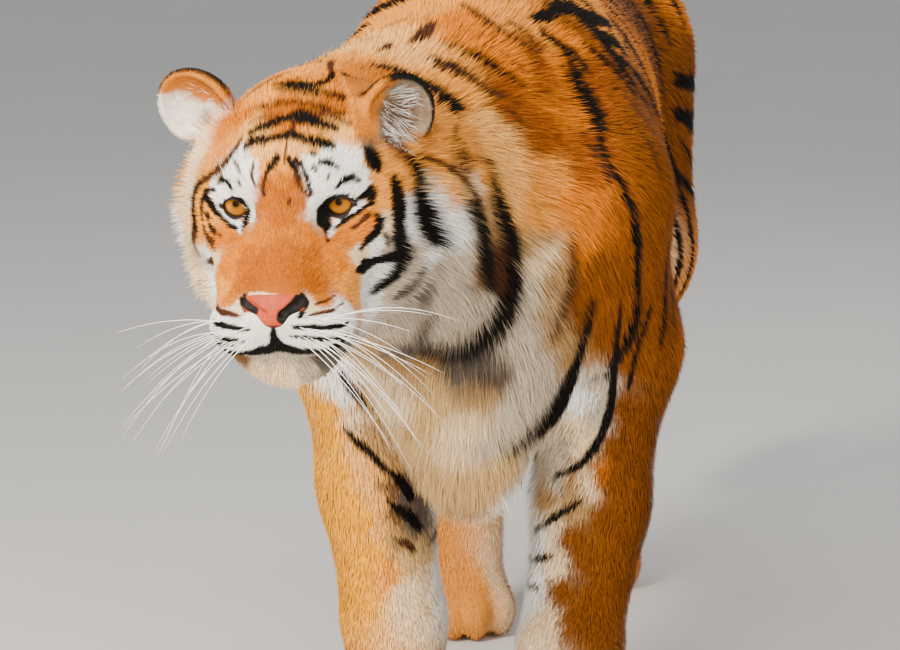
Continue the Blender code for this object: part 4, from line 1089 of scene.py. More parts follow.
def all_grounds(surface_tree):
    """Places and colours of the ground, with the face's laid on its surface."""
    rows = [(from_head(np.array(p) * 0.01), tone) for tone, places in HEAD_GROUNDS.items() for p in places]
    charts = {"face": FACE_GROUNDS, "chest": CHEST_GROUNDS, "side": SIDE_GROUNDS, "top": TOP_GROUNDS}
    for chart, grounds in charts.items():
        for tone, places in grounds.items():
            starts, aim = chart_rays(chart, np.array(places) * 0.01)
            hits = [surface_tree.ray_cast(Vector(start), Vector(aim))[0] for start in starts]
            rows += [(np.array(hit), tone) for hit in hits if hit is not None]
    rows += [(np.array(p) * 0.01, tone) for tone, places in BODY_GROUNDS.items() for p in places]
    rows += [(np.array(p) * (s, 1, 1) * 0.01, tone)
             for tone, places in BODY_GROUND_PAIRS.items() for p in places for s in (1, -1)]
    for s, leg in sided(FORELEGS):
        elbow, wrist, toes = (np.array(leg[k]) for k in ("elbow", "wrist", "toes"))
        for t in (0.15, 0.5, 0.85):
            at = elbow + (wrist - elbow) * t
            # the outer side of the left foreleg is painted in shade, dark rust, that of the right one lit, bright
            # amber
            outer = "rust" if s > 0 else "amber"
            rows += [(at + (s * 0.075, 0, 0), outer), (at + (-s * 0.07, 0, 0), "white"), (at + (0, 0.08, 0), outer)]
            if t > 0.6:
                rows += [(at + (s * 0.03, -0.075, 0), outer), (at + (-s * 0.035, -0.06, 0), "cream")]
        rows += [(toes + (s * 0.05, 0.03, 0.04), "golden"), (toes + (0, -0.03, 0.03), "golden"),
                 (toes + (-s * 0.06, 0.03, 0.02), "cream"), (toes + (0, 0.08, 0.02), "cream")]
    for s, leg in sided(HIND_LEGS):
        knee, hock, toes = (np.array(leg[k]) for k in ("knee", "hock", "toes"))
        for t in (0.2, 0.6, 0.95):
            at = knee + (hock - knee) * t
            rows += [(at + (s * 0.06, 0, 0), "orange"), (at + (0, -0.06, 0), "golden"),
                     (at + (-s * 0.06, 0, 0), "cream"), (at + (0, 0.06, 0), "golden")]
        rows += [(toes + (s * 0.05, 0.02, 0.04), "golden"), (toes + (0, -0.03, 0.03), "golden"),
                 (toes + (-s * 0.05, 0.03, 0.03), "cream")]
    for x, y, z, r in tail_line(12)[1:]:
        rows += [((x, y, z + r), "orange"), ((x, y, z - r), "cream"),
                 ((x + r, y, z), "golden"), ((x - r, y, z), "golden")]
    places = np.array([r[0] for r in rows], np.float32)
    tones = np.array([TONES[r[1]] for r in rows], np.float32)
    return places, tones


GROUND_REACH = 0.006                 # the nearest place rules alone within about this distance
GROUND_BATCH = 50000                 # points worked out at a time, to spare memory
GROUND_MINGLE = (0.0015, 0.011)      # how far tufts of neighbouring grounds mingle: face, body


def ground_colour(points, grounds):
    """Blend of the ground colours at points, mingled a little where tones meet."""
    places, tones = grounds
    out = np.empty((len(points), 3))
    face, body = GROUND_MINGLE
    mingle = np.where(to_head(points)[:, 1] < 0.04, face, body)[:, None]
    broad = np.stack([noise_at(points, 0.012, s) for s in (1, 2, 3)], 1) * 0.003
    fine = np.stack([noise_at(points, 0.0014, s) for s in (11, 12, 13)], 1) * mingle
    p = (points + broad + fine).astype(np.float32)
    for start in range(0, len(p), GROUND_BATCH):
        q = p[start:start + GROUND_BATCH]
        square = ((q ** 2).sum(1)[:, None] + (places ** 2).sum(1)[None] - 2 * q @ places.T)
        w = 1 / (np.maximum(square, 0) + GROUND_REACH ** 2) ** 3.2
        out[start:start + GROUND_BATCH] = (w @ tones) / w.sum(1)[:, None]
    return out


# ------------------------------------------------- laying markings on the body
EDGE = 0.0012                # softness of a marking's edge
NEIGHBOUR_GAP = 0.05         # a laid line is broken where its points jump farther
OUT_OF_REACH = 0.04          # a marking does not reach what lies so far in front of it or behind it
TAIL_TURNS = range(-180, 181, 45)


def coat_surface():
    """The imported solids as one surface, in the sculptor's own coordinates."""
    verts, faces = [], []
    for name, node in sorted(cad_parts.items()):
        if name.startswith("eye"):
            continue
        mesh = node.data
        start = len(verts)
        verts += [tuple(v.co - Vector(CENTRING)) for v in mesh.vertices]
        faces += [[start + i for i in f.vertices] for f in mesh.polygons]
    return BVHTree.FromPolygons(verts, faces)


def dense(points, widths, step=0.008):
    """Points and widths along a smooth line through the given points."""
    points = np.array(points, float)
    widths = np.interp(np.linspace(0, 1, len(points)), np.linspace(0, 1, len(widths)), widths)
    gaps = np.linalg.norm(np.diff(points, axis=0), axis=1)
    along = np.concatenate([[0], np.cumsum(gaps)])
    count = max(int(along[-1] / step), 2) + 1
    columns = [curve(along, points[:, i], count)[1] for i in range(points.shape[1])]
    return np.stack(columns, 1), np.interp(np.linspace(0, along[-1], count), along, widths)


def chart_rays(chart, flat):
    """Where the rays of a chart start, and the way they all run."""
    a, b = flat[:, 0], flat[:, 1]
    far = np.ones(len(a))
    if chart == "face":
        return from_head(np.stack([a, -0.6 * far, b], 1)), HEAD_AXES[:, 1]
    if chart == "side":
        return np.stack([far, a, b], 1), np.array([-1.0, 0, 0])
    if chart == "chest":
        return np.stack([a, -2 * far, b], 1), np.array([0, 1.0, 0])
    return np.stack([a, b, 2 * far], 1), np.array([0, 0, -1.0])


def chart_line(surface_tree, chart, points, widths):
    """A marking laid on the surface: its points, widths and the chart's direction."""
    flat, wide = dense(np.array(points) * 0.01, np.array(widths) * 0.01)
    starts, aim = chart_rays(chart, flat)
    if chart == "face":
        # on the crown, which the chart sees aslant, a line spreads by itself
        crown = np.clip((flat[:, 1] - 0.060) / 0.020, 0, 1)
        wide = wide * (1.15 + 0.15 * crown) + 0.0015 * (1 - 0.75 * crown)
    else:
        wide = wide * 1.05 + 0.0010
    hits = [surface_tree.ray_cast(Vector(p), Vector(aim))[0] for p in starts]
    return (*longest_run(hits, wide, NEIGHBOUR_GAP), aim)


def longest_run(hits, widths, gap):
    """The longest part of a line whose neighbours lie within a gap of each other."""
    best, run = [], []
    for i, hit in enumerate(hits):
        if hit is None or (run and (hit - hits[run[-1]]).length > gap):
            run = []
        if hit is not None:
            run = run + [i]
        if len(run) > len(best):
            best = run
    return np.array([tuple(hits[i]) for i in best]).reshape(-1, 3), np.array([widths[i] for i in best])


def around_line(surface_tree, axis, turns, widths, reach):
    """A line laid on the body round an axis: turns are (share of the axis, degrees).

    Zero degrees is the left side, minus 90 the back. Rays come from outside."""
    side = np.array([1.0, 0, 0])
    flat, wide = dense(np.array(turns, float) * (1, 0.01), np.array(widths) * 0.01, 0.04)
    axis = np.array(axis, float)
    share = np.linspace(0, 1, len(axis))
    hits = []
    for t, angle in flat:
        centre = np.array([np.interp(t, share, axis[:, i]) for i in range(3)])
        ahead = np.array([np.interp(min(t + 0.02, 1), share, axis[:, i]) for i in range(3)])
        behind = np.array([np.interp(max(t - 0.02, 0), share, axis[:, i]) for i in range(3)])
        along = unit(ahead - behind)
        out = unit(side - (side @ along) * along)
        up = np.cross(along, out)
        a = math.radians(angle * 100)
        aim = out * math.cos(a) + up * math.sin(a)
        hit = surface_tree.ray_cast(Vector(centre + aim * reach), Vector(-aim), reach)[0]
        hits.append(hit)
    return longest_run(hits, wide, 0.09)


def paint(colours, points, normals, line, widths, aim, tone):
    """Blend one marking into colours along a laid line.

    Distance from the line hardly counts the way the chart was looked at, or,
    for a line laid round the body, the way the surface faces."""
    if len(line) < 2:
        return
    reach = widths.max() / 2 + (0.030 if aim is not None else 0.012)
    low, high = line.min(0) - reach, line.max(0) + reach
    near = np.flatnonzero(((points > low) & (points < high)).all(1))
    if not len(near):
        return
    p = points[near]
    facing = normals[near] if aim is None else aim[None]
    ease, slope = 0.85, 1
    if aim is not None:
        ease = np.interp(abs(to_head(line)[:, 0].mean()), (0.095, 0.110), (0.95, 0.985))
        slope = np.clip(np.abs(normals[near] @ aim), 0.35, 1)
    best = np.full(len(near), 1.0)
    for a, b, wa, wb in zip(line[:-1], line[1:], widths[:-1], widths[1:]):
        ab = b - a
        if aim is None:
            t = np.clip((p - a) @ ab / (ab @ ab + 1e-12), 0, 1)
        else:
            flat = ab - (ab @ aim) * aim
            t = np.clip((p - a) @ flat / (flat @ flat + 1e-12), 0, 1)
        v = p - a - t[:, None] * ab
        lift = (v * facing).sum(1)
        across = np.sqrt(np.maximum((v ** 2).sum(1) - ease * lift ** 2, 0))
        across += np.where(np.abs(lift) > OUT_OF_REACH, 1.0, 0.0)
        best = np.minimum(best, across - (wa + (wb - wa) * t) / 2)
    # the edge is ragged like hair, less so on narrow lines
    ragged = min(0.0011, widths.max() * 0.14)
    rough = (noise_at(p, 0.0035, 5) + noise_at(p, 0.012, 6)) * ragged - 0.0005
    cover = np.clip(0.5 - (best + rough * slope) / (2 * EDGE * slope), 0, 1)
    colours[near] += (np.array(TONES[tone]) - colours[near]) * cover[:, None]


# ------------------------------------------------ stripes the loops work out
def trunk_axis(count=40):
    """Points along the middle of the trunk."""
    y = np.linspace(STATIONS[0, 0], STATIONS[-1, 0], count)
    top, bottom, _, mid, _ = (np.interp(y, *c) for c in TRUNK_CURVES)
    return np.stack([mid, y, (top + bottom) / 2], 1)


def worked_out_stripes():
    """Stripes of the trunk, legs and tail: tone, axis, turns, widths, reach."""
    rng = np.random.default_rng(7)
    rows = []

    def stripe(axis, turns, widths, reach, s=1):
        rows.append(("black", axis, [(a, s_angle(b, s)) for a, b in turns], widths, reach))

    axis = trunk_axis()
    first, last = STATIONS[0, 0], STATIONS[-1, 0]
    for s in (1, -1):
        y = -0.50 if s > 0 else -0.45
        while y < 0.66:
            t = (y - first) / (last - first)
            top = -88 + rng.uniform(-6, 4)
            down = rng.uniform(-4, 34) if rng.random() < 0.7 else rng.uniform(-50, -20)
            if y > 0.36:
                down = rng.uniform(-40, -12)
            drift = rng.uniform(-0.012, 0.020)
            steps = [(t + drift * k + rng.uniform(-0.006, 0.006), top + (down - top) * k) for k in (0, 0.33, 0.67, 1)]
            wide = rng.uniform(1.0, 1.7)
            stripe(axis, steps, (0.5, wide, wide * 0.9, 0.25), 0.6, s)
            if rng.random() < 0.55:
                gap = rng.uniform(0.012, 0.018)
                part = [(a + gap * math.sin(math.pi * k), b) for k, (a, b) in zip((0.15, 0.5, 0.8, 1.0), steps)]
                stripe(axis, part, (0.3, wide * 0.6, wide * 0.6, 0.2), 0.6, s)
            # short stripe that rises from the belly between two long ones
            if rng.random() < 0.75 and y < 0.30:
                u = t + rng.uniform(0.015, 0.030)
                low = [(u + rng.uniform(-0.008, 0.008), b) for b in (72, 48, 24, 4)]
                stripe(axis, low, (0.3, 1.1, 1.1, 0.2), 0.6, s)
            y += rng.uniform(0.040, 0.062)
    for s, leg in sided(HIND_LEGS):
        hip, knee, hock = (np.array(leg[k]) for k in ("hip", "knee", "hock"))
        thigh = [hip + (0, 0.06, 0.02), (hip + knee) / 2 + (0, 0.08, 0), knee + (0, 0.06, 0),
                 (knee + hock) / 2 + (0, 0.02, 0), hock]
        for k in range(11):
            t = 0.10 + 0.080 * k + rng.uniform(-0.012, 0.012)
            start, end = rng.uniform(-40, -10), rng.uniform(55, 120)
            bend = rng.uniform(0.02, 0.07)
            turns = [(t, start), (t + bend * 0.6, start * 0.3 + end * 0.1), (t + bend, end * 0.5),
                     (t + bend * 0.4, end)]
            wide = rng.uniform(1.2, 2.0) * (1 - 0.35 * t)
            stripe(thigh, turns, (0.3, wide, wide, 0.3), 0.17, s)
    for s, leg in sided(FORELEGS):
        elbow, wrist = np.array(leg["elbow"]), np.array(leg["wrist"])
        bone = [elbow + (0, 0.02, 0.06), elbow, (elbow + wrist) / 2, wrist]
        for k in range(5):
            t = 0.30 + 0.13 * k + rng.uniform(-0.02, 0.02)
            turns = [(t, 150), (t - 0.02, 185), (t + 0.01, 225)]
            stripe(bone, turns, (0.2, 0.8, 0.2), 0.14, s)
    tail = tail_line(60)[:, :3]
    t = 0.10
    while t < 0.97:
        lean = rng.uniform(-0.010, 0.010)
        wide = 1.6 + 1.6 * t
        turns = [(t + lean * math.sin(math.radians(a)), a) for a in TAIL_TURNS]
        stripe(tail, turns, (wide * 0.55, wide, wide * 0.5, wide, wide * 0.55), 0.12)
        t += rng.uniform(0.058, 0.075)
    stripe(tail, [(0.985, a) for a in TAIL_TURNS], (6.0, 6.0), 0.12)
    return rows


def s_angle(angle, s):
    """The same turn on the left (s = 1) or right side of the body."""
    return angle if s > 0 else 180 - angle


def far_side(hit):
    """Where the strokes of the left flank are laid on the right one as well."""
    return hit[0] < -0.05 and (hit[1] > -0.45 or (hit[2] > 0.66 and hit[1] > -0.88))


def laid_markings(surface_tree):
    """Grounds and lines: each line's points, widths, chart direction and tone."""
    rows = []
    for tone, axis, turns, widths, reach in worked_out_stripes():
        line, wide = around_line(surface_tree, axis, turns, widths, reach)
        rows.append((line, wide * 1.3, None, tone))
    for chart, tone, strokes in MARKINGS:
        for widths, flat in strokes:
            points = np.reshape(flat, (-1, 2))
            rows.append((*chart_line(surface_tree, chart, points, widths), tone))
            if chart == "side":
                # the far side wears like stripes, not the same ones
                other = [(y + 0.9 * math.sin(z * 0.21), z + 0.6) for y, z in points]
                line, wide, aim = chart_line(surface_tree, chart, other, widths)
                hits = [surface_tree.ray_cast(Vector((-1, y, z)), Vector((1, 0, 0)))[0] for _, y, z in line]
                hits = [hit if hit is None or far_side(hit) else None for hit in hits]
                rows.append((*longest_run(hits, wide, NEIGHBOUR_GAP), -aim, tone))
    return all_grounds(surface_tree), rows


def ear_colour(colours, points, normals):
    """Pale hair inside each ear, black behind with a white spot."""
    at_head = to_head(points)
    near = np.flatnonzero((np.abs(at_head) < 0.25).all(1))
    tone = {name: np.array(value) for name, value in TONES.items()}
    # the right ear is seen from in front, the left one more from its side
    for ear in EARS.values():
        axes = ear_axes(ear)
        x, y, z = ((at_head[near] - np.array(ear["base"])) @ axes).T
        faces = (normals[near] @ HEAD_AXES @ axes)[:, 1]
        s = ear["side"]
        inside = (np.abs(x) < 0.060) & (np.abs(y) < 0.052) & (z > 0.004) & (z < 0.10)
        edge = np.sqrt((x / EAR_HALF[0]) ** 2 + ((z - 0.030) / EAR_HALF[2]) ** 2)
        front = np.clip(0.5 + faces * 2.5 + (edge < 0.75) * 0.6, 0, 1)
        # toward the crown and up the ear, each 1 at the rim
        crown, high = -x * s / EAR_HALF[0], (z - 0.030) / EAR_HALF[2]
        patchy = noise_at(points[near], 0.009, 4)
        # the pale hair inside the left ear is painted grey-brown, as in shade, that inside the right one white and
        # cream
        pale = tone["white"] * 0.7 + tone["cream"] * 0.3 if s < 0 else tone["silver"] * 0.4 + tone["umber"] * 0.6
        face = np.tile(pale, (len(near), 1))
        if s < 0:
            # brown in the hollow: painted shade, with the skin showing through the thin hair there
            hollow = np.clip(1.6 - 1.5 * np.hypot((x + 0.007) / 0.015, (z - 0.016) / 0.011) + 0.3 * patchy, 0, 0.85)
            hollow_shade = tone["skin"] * 0.8 + tone["umber"] * 0.2
            upper = 0.80 * crown + 0.60 * high - 0.05 + 0.10 * patchy
            rim = np.clip((edge - 0.94) / 0.05, 0, 1) * np.clip((0.55 * crown + 0.85 * high - 0.1) / 0.2, 0, 1)
        else:
            # painted shade in the hollow, grey-brown
            hollow = np.clip(1.5 - np.hypot(x / 0.026, (z - 0.027) / 0.030) + 0.6 * patchy, 0, 0.95)
            hollow_shade = tone["umber"] * 0.5 + tone["grey"] * 0.4
            upper = 0.95 * crown + 0.35 * high - 0.40 + 0.10 * patchy
            rim = np.clip((edge - 0.82) / 0.06, 0, 1) * np.clip((0.25 - 0.8 * crown + 0.4 * high) / 0.3, 0, 1)
        face += (hollow_shade - face) * hollow[:, None]
        orange = tone["orange"] * 0.6 + tone["golden"] * 0.4
        face += (orange - face) * (np.clip(upper / 0.18, 0, 1) * np.clip((z - 0.008) / 0.012, 0, 1))[:, None]
        face += (tone["black"] - face) * rim[:, None]
        spot = np.clip(2 * (1.6 - 1.6 * np.hypot(x / 0.020, (z - 0.040) / 0.017)), 0, 1) * (y < -0.004)
        back = tone["black"] + (tone["white"] - tone["black"]) * spot[:, None]
        part = colours[near]
        back = part + (back - part) * np.clip((z - 0.018) / 0.012, 0, 1)[:, None]
        own = back + (face - back) * front[:, None]
        colours[near] = part + (own - part) * (np.clip((z - 0.004) / 0.016, 0, 1) * inside)[:, None]


def coat_colour(points, normals, marks):
    """Colour of the coat at places on its outline."""
    grounds, lines = marks
    colours = ground_colour(points, grounds)
    for line, widths, aim, tone in lines:
        paint(colours, points, normals, line, widths, aim, tone)
    ear_colour(colours, points, normals)
    return colours


# ------------------------------------------------------------------- meshes
def colour_layer(mesh, name, colours):
    """Give every vertex of a mesh its own colour, under a name."""
    layer = mesh.color_attributes.new(name, "FLOAT_COLOR", "POINT")
    rgba = np.ones((len(colours), 4), np.float32)
    rgba[:, :3] = colours
    layer.data.foreach_set("color", rgba.ravel())


def new_mesh(name, verts, sizes, corners):
    """Mesh from arrays: how many corners each face has, then all the corners."""
    mesh = bpy.data.meshes.new(name)
    mesh.vertices.add(len(verts))
    mesh.vertices.foreach_set("co", (np.asarray(verts) + np.array(CENTRING)).astype(np.float32).ravel())
    mesh.loops.add(len(corners))
    mesh.loops.foreach_set("vertex_index", np.asarray(corners, np.int32))
    mesh.polygons.add(len(sizes))
    starts = np.concatenate([[0], np.cumsum(sizes)[:-1]]).astype(np.int32)
    mesh.polygons.foreach_set("loop_start", starts)
    mesh.polygons.foreach_set("use_smooth", np.ones(len(sizes), bool))
    mesh.update(calc_edges=True)
    return mesh


def piece(name, mesh, mat, slot, *nodes):
    """Put a mesh in the scene as a piece that rides on the tiger and stands for the named solids."""
    mesh.materials.append(mat)
    obj = bpy.data.objects.new(name, mesh)
    bpy.context.scene.collection.objects.link(obj)
    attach(obj, "root")
    if nodes:
        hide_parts(*nodes)
    return obj


def slopes(field, points, step=0.0006):
    """Outward direction of a field, by differences."""
    out = np.empty((len(points), 3))
    for axis in range(3):
        shift = np.zeros(3)
        shift[axis] = step
        out[:, axis] = (field(points + shift) - field(points - shift)) / (2 * step)
    return out


def refined(verts, quads, field, chosen, passes):
    """Split the faces near chosen places, and bring the new points to the field."""
    bm = bmesh.new()
    made = [bm.verts.new(v) for v in verts]
    for f in quads:
        bm.faces.new([made[i] for i in f])
    for step in range(passes):
        bm.verts.ensure_lookup_table()
        co = np.array([v.co for v in bm.verts])
        mark = chosen(co, step)
        bm.verts.index_update()
        edges = [e for e in bm.edges if mark[e.verts[0].index] and mark[e.verts[1].index]]
        bmesh.ops.subdivide_edges(bm, edges=edges, cuts=1, use_grid_fill=True)
        bm.verts.ensure_lookup_table()
        co = np.array([v.co for v in bm.verts])
        near = np.flatnonzero(chosen(co, step))
        for _ in range(2):
            p = co[near]
            d = field(p)
            g = slopes(field, p, 0.0004)
            move = d[:, None] * g / np.maximum((g ** 2).sum(1), 0.25)[:, None]
            size = np.linalg.norm(move, axis=1)
            move *= np.minimum(1, 0.0015 / np.maximum(size, 1e-9))[:, None]
            co[near] = p - move
        for i in near:
            bm.verts[i].co = co[i]
    bm.verts.index_update()
    verts = np.array([v.co for v in bm.verts])
    sizes, corners = [], []
    for f in bm.faces:
        sizes.append(len(f.verts))
        corners += [v.index for v in f.verts]
    bm.free()
    return verts, np.array(sizes), np.array(corners)


def near_features(points, step):
    """Places that need finer faces: round the eyes, then nose and mouth too."""
    h = to_head(points)
    out = np.zeros(len(h), bool)
    for s in (1, -1):
        out |= (((h - (s * EYE_SPACING / 2, -0.006, 0.001)) / (0.026, 0.03, 0.018)) ** 2).sum(1) < 1
    if step == 0:
        out |= (((h - (0, -0.142, -0.078)) / (0.046, 0.034, 0.044)) ** 2).sum(1) < 1
    return out


BODY_BOX = ((-0.40, -1.10, -0.045), (0.34, 1.33, 1.02))
HEAD_BOX = ((-0.46, -1.30, 0.36), (0.16, -0.72, 1.00))
SKIN_GRID = 0.008
FACE_GRID = 0.0026


def skin_shape():
    """Vertices, face sizes and corners of the whole skin."""
    values = sampled(skin_body_only, *BODY_BOX, SKIN_GRID, ratio=3)
    verts, quads = surface(values, BODY_BOX[0], SKIN_GRID)
    values = sampled(skin_head_only, *HEAD_BOX, FACE_GRID, ratio=3)
    head, head_quads = surface(values, HEAD_BOX[0], FACE_GRID)
    head, sizes, corners = refined(head, head_quads, skin_head_only, near_features, 2)
    all_sizes = np.concatenate([np.full(len(quads), 4), sizes])
    all_corners = np.concatenate([quads.ravel(), corners + len(verts)])
    verts[:, 2] = np.maximum(verts[:, 2], 0.0004)
    return np.concatenate([verts, head]), all_sizes, all_corners, len(verts)


# -------------------------------------------------------------------- the fur
def triangles_of(sizes, corners):
    """Faces of any size cut into triangles."""
    starts = np.concatenate([[0], np.cumsum(sizes)[:-1]])
    rows = []
    for k in range(1, sizes.max() - 1):
        have = starts[sizes > k + 1]
        rows.append(np.stack([corners[have], corners[have + k], corners[have + k + 1]], 1))
    return np.concatenate(rows)


def vertex_normals(verts, tris):
    """Outward direction at each vertex."""
    a, b, c = (verts[tris[:, i]] for i in range(3))
    face = np.cross(b - a, c - a)
    out = np.zeros_like(verts)
    for i in range(3):
        np.add.at(out, tris[:, i], face)
    return out / np.maximum(np.linalg.norm(out, axis=1), 1e-12)[:, None]


NOSE_PAD = [((0, -0.147, -0.0560), (0.0430, 0.036, 0.0130)), ((0, -0.156, -0.0670), (0.0155, 0.022, 0.0125))]


def nose_pad(h):
    """Signed distance to the block of space that holds the nose leather."""
    d = [ellipsoid(h, centre, radii) for centre, radii in NOSE_PAD]
    return smooth_min(d[0], d[1], 0.006)


def bare(h):
    """Where no hair grows: the rims of the lids, the nose leather, the lips."""
    out = nose_pad(h) < 0.0003
    for s in (1, -1):
        near = np.linalg.norm(h - (s * EYE_SPACING / 2, EYE_DEPTH, 0), axis=1) < 0.03
        out |= near & (eye_opening(h, s) < 0.0026) & (h[:, 1] < EYE_DEPTH)
    return out


# distance between tufts: on the face, behind it, on the front of the body and on the rest
TUFT_GAPS = (0.00145, 0.0019, 0.0024, 0.0036)
TUFT_COUNT = 500000
ROOTS_TRIED = 2.6            # places tried for each tuft, as those too close are left out
CELL_PRIMES = (73856093, 19349663, 83492791)
ROOT_DEPTH = 0.0010          # a tuft starts this far inside the skin
# the middle of a tuft: its share of the way along the hair and of the height
MIDDLE_ALONG, MIDDLE_UP = 0.45, 0.70
# brightness of a tuft's corners: two at the root, two at the middle, the tip. The dark roots are painted shade, deep
# in the coat.
CORNER_SHADES = (0.42, 0.42, 0.95, 0.95, 1.10)
LOCKS = (0.0032, 0.0075)     # breadth of the locks in short and in long hair
EAR_HAIR = 0.0048            # length of the short hair on the ears
# long pale hairs inside the ears: the longest, and their share of the hairs
LONG_EAR_HAIR = {"left": (0.032, 0.26), "right": (0.018, 0.10)}


def tuft_gap(points, normals):
    """Distance between tufts at places of the skin."""
    h = to_head(points)
    gap = np.full(len(points), TUFT_GAPS[3])
    front = (points[:, 1] < -0.35) & (normals @ np.array([0.35, -0.9, 0.25]) > -0.25)
    gap[front] = TUFT_GAPS[2]
    head = (h[:, 1] < 0.16) & (np.abs(h[:, 0]) < 0.24) & (h[:, 2] > -0.25)
    gap[head & front] = TUFT_GAPS[1]
    face = ((h / (0.125, 0.24, 0.14)) ** 2).sum(1) < 1
    gap[face & (h[:, 1] < 0.06)] = TUFT_GAPS[0]
    return gap


def roots_on(verts, tris, normals, keep):
    """Evenly spread places on the skin, close where the hair is short."""
    rng = np.random.default_rng(11)
    tris = tris[keep]
    a, b, c = (verts[tris[:, i]] for i in range(3))
    area = np.linalg.norm(np.cross(b - a, c - a), axis=1) / 2
    gap = tuft_gap((a + b + c) / 3, unit_rows(normals[tris].sum(1)))
    want = area / gap ** 2
    scale = TUFT_COUNT / want.sum()
    gap = gap / math.sqrt(scale)
    count = int(want.sum() * scale * ROOTS_TRIED)
    pick = rng.choice(len(tris), count, p=want / want.sum())
    u, v = rng.random(count), rng.random(count)
    over = u + v > 1
    u[over], v[over] = 1 - u[over], 1 - v[over]
    t = tris[pick]
    w = np.stack([1 - u - v, u, v], 1)[:, :, None]
    points = (verts[t] * w).sum(1)
    dirs = unit_rows((normals[t] * w).sum(1))
    gaps = gap[pick]
    # no more than one root in each cell of a grid as fine as the gap
    cell = np.floor(points / (gaps[:, None] * 1.15)).astype(np.int64)
    key = np.bitwise_xor.reduce(cell * CELL_PRIMES, axis=1)
    key = key * 8 + np.round(np.log(gaps / gaps.min()) * 4).astype(np.int64) % 8
    first = np.unique(key, return_index=True)[1]
    first.sort()
    return points[first], dirs[first], gaps[first]


def unit_rows(v):
    """Each row made one long."""
    return v / np.maximum(np.linalg.norm(v, axis=1), 1e-12)[:, None]


def on_ear(q):
    """Whether places in an ear's own frame belong to that ear."""
    return (np.abs(q[:, 0]) < 0.056) & (np.abs(q[:, 1]) < 0.050) & (q[:, 2] > 0.006) & (q[:, 2] < 0.10)


def regions_of(points):
    """Which piece of the coat each root belongs to."""
    h = to_head(points)
    x, y, z = points.T
    region = np.full(len(points), "trunk_left", dtype="<U20")
    region[x < 0] = "trunk_right"
    region[(y < -0.30)] = "chest_left"
    region[(y < -0.30) & (x < 0.02)] = "chest_right"
    region[y < -0.68] = "neck"
    region[(y > 0.24) & (x >= 0)] = "haunch_left"
    region[(y > 0.24) & (x < 0)] = "haunch_right"
    region[(z < 0.45) & (y > 0.18) & (x >= 0.0)] = "hind_leg_left"
    region[(z < 0.45) & (y > 0.02) & (x < -0.0)] = "hind_leg_right"
    region[(z < 0.43) & (y < -0.33) & (x > 0.02 + z * 0.045 / 0.42)] = "foreleg_left"
    region[(z < 0.43) & (y < -0.25) & (x < -0.015 - z * 0.045 / 0.42)] = "foreleg_right"
    region[(y > 0.745) & (np.abs(x) < 0.2)] = "tail"
    head = (h[:, 1] < HEAD_BACK) & (h[:, 2] > HEAD_FLOOR)
    region[head] = "ruff"
    region[head & (h[:, 1] < 0.06) & (np.abs(h[:, 0]) < 0.125) & (h[:, 2] > -0.16)] = "face"
    near = np.flatnonzero(head)
    for name, ear in EARS.items():
        q = (h[near] - np.array(ear["base"])) @ ear_axes(ear)
        region[near[on_ear(q)]] = "ear_" + name
    return region


def round_chart(points, a, b, front=(0, -1, 0)):
    """Unrolled round the axis from a to b: turn across, way along the axis up."""
    a, b = np.asarray(a, float), np.asarray(b, float)
    along = unit(b - a)
    out = unit(np.array(front, float) - (np.array(front) @ along) * along)
    side = np.cross(along, out)
    q = points - a
    turn = np.arctan2(q @ side, q @ out) / (2 * math.pi) + 0.5
    way = (q @ along) / np.linalg.norm(b - a)
    return np.stack([turn, way], 1)


def face_chart(points):
    """The head unrolled like a fan about the tip of the nose."""
    q = unit_rows(to_head(points) - (0, 0.05, -0.04))
    away = np.arccos(np.clip(-q[:, 1], -1, 1)) / math.pi
    turn = np.arctan2(q[:, 2], q[:, 0])
    return np.stack([0.5 + 0.5 * away * np.cos(turn), 0.5 + 0.5 * away * np.sin(turn)], 1)


def ear_chart(points, ear):
    """Front and back of an ear, side by side."""
    q = (to_head(points) - np.array(ear["base"])) @ ear_axes(ear)
    across = q[:, 0] / 0.12 + 0.5
    front = q[:, 1] > 0.004 - 0.3 * np.abs(q[:, 0])
    return np.stack([across * 0.48 + np.where(front, 0.0, 0.5), q[:, 2] / 0.11 + 0.05], 1)


def charted(name, points):
    """Places on the flat chart of a piece of the coat, from 0 to 1."""
    if name in ("face", "ruff"):
        return face_chart(points)
    if name.startswith("ear_"):
        return ear_chart(points, EARS[name[4:]])
    if name == "neck":
        return round_chart(points, (-0.16, -0.98, 0.72), (-0.03, -0.60, 0.72), (0, 0, 1))
    if name.startswith(("trunk", "chest")):
        return round_chart(points, (0, -0.85, 0.66), (0, 0.30, 0.68), (0, 0, 1))
    if name.startswith("haunch"):
        return round_chart(points, (0, 0.20, 0.70), (0, 0.80, 0.74), (0, 0, 1))
    if name == "tail":
        line = tail_line(60)[:, :3]
        nearest = np.argmin(((points[:, None] - line[None]) ** 2).sum(2), 1)
        along = unit_rows(np.gradient(line, axis=0))[nearest]
        side = np.array([1.0, 0, 0])
        up = np.cross(along, side)
        q = points - line[nearest]
        turn = np.arctan2((q * up).sum(1), q[:, 0]) / (2 * math.pi) + 0.5
        return np.stack([turn, nearest / 60 + (q * along).sum(1) * 0.8], 1)
    legs = {"foreleg": (FORELEGS, "elbow"), "hind_leg": (HIND_LEGS, "knee")}
    kind, side = name.rsplit("_", 1)
    table, top = legs[kind]
    leg = table[side]
    toes = np.array(leg["toes"]) + (0, 0.02, 0)
    head = np.array(leg[top])
    return round_chart(points, (toes[0], toes[1], -0.02), (head[0], head[1], 0.56))


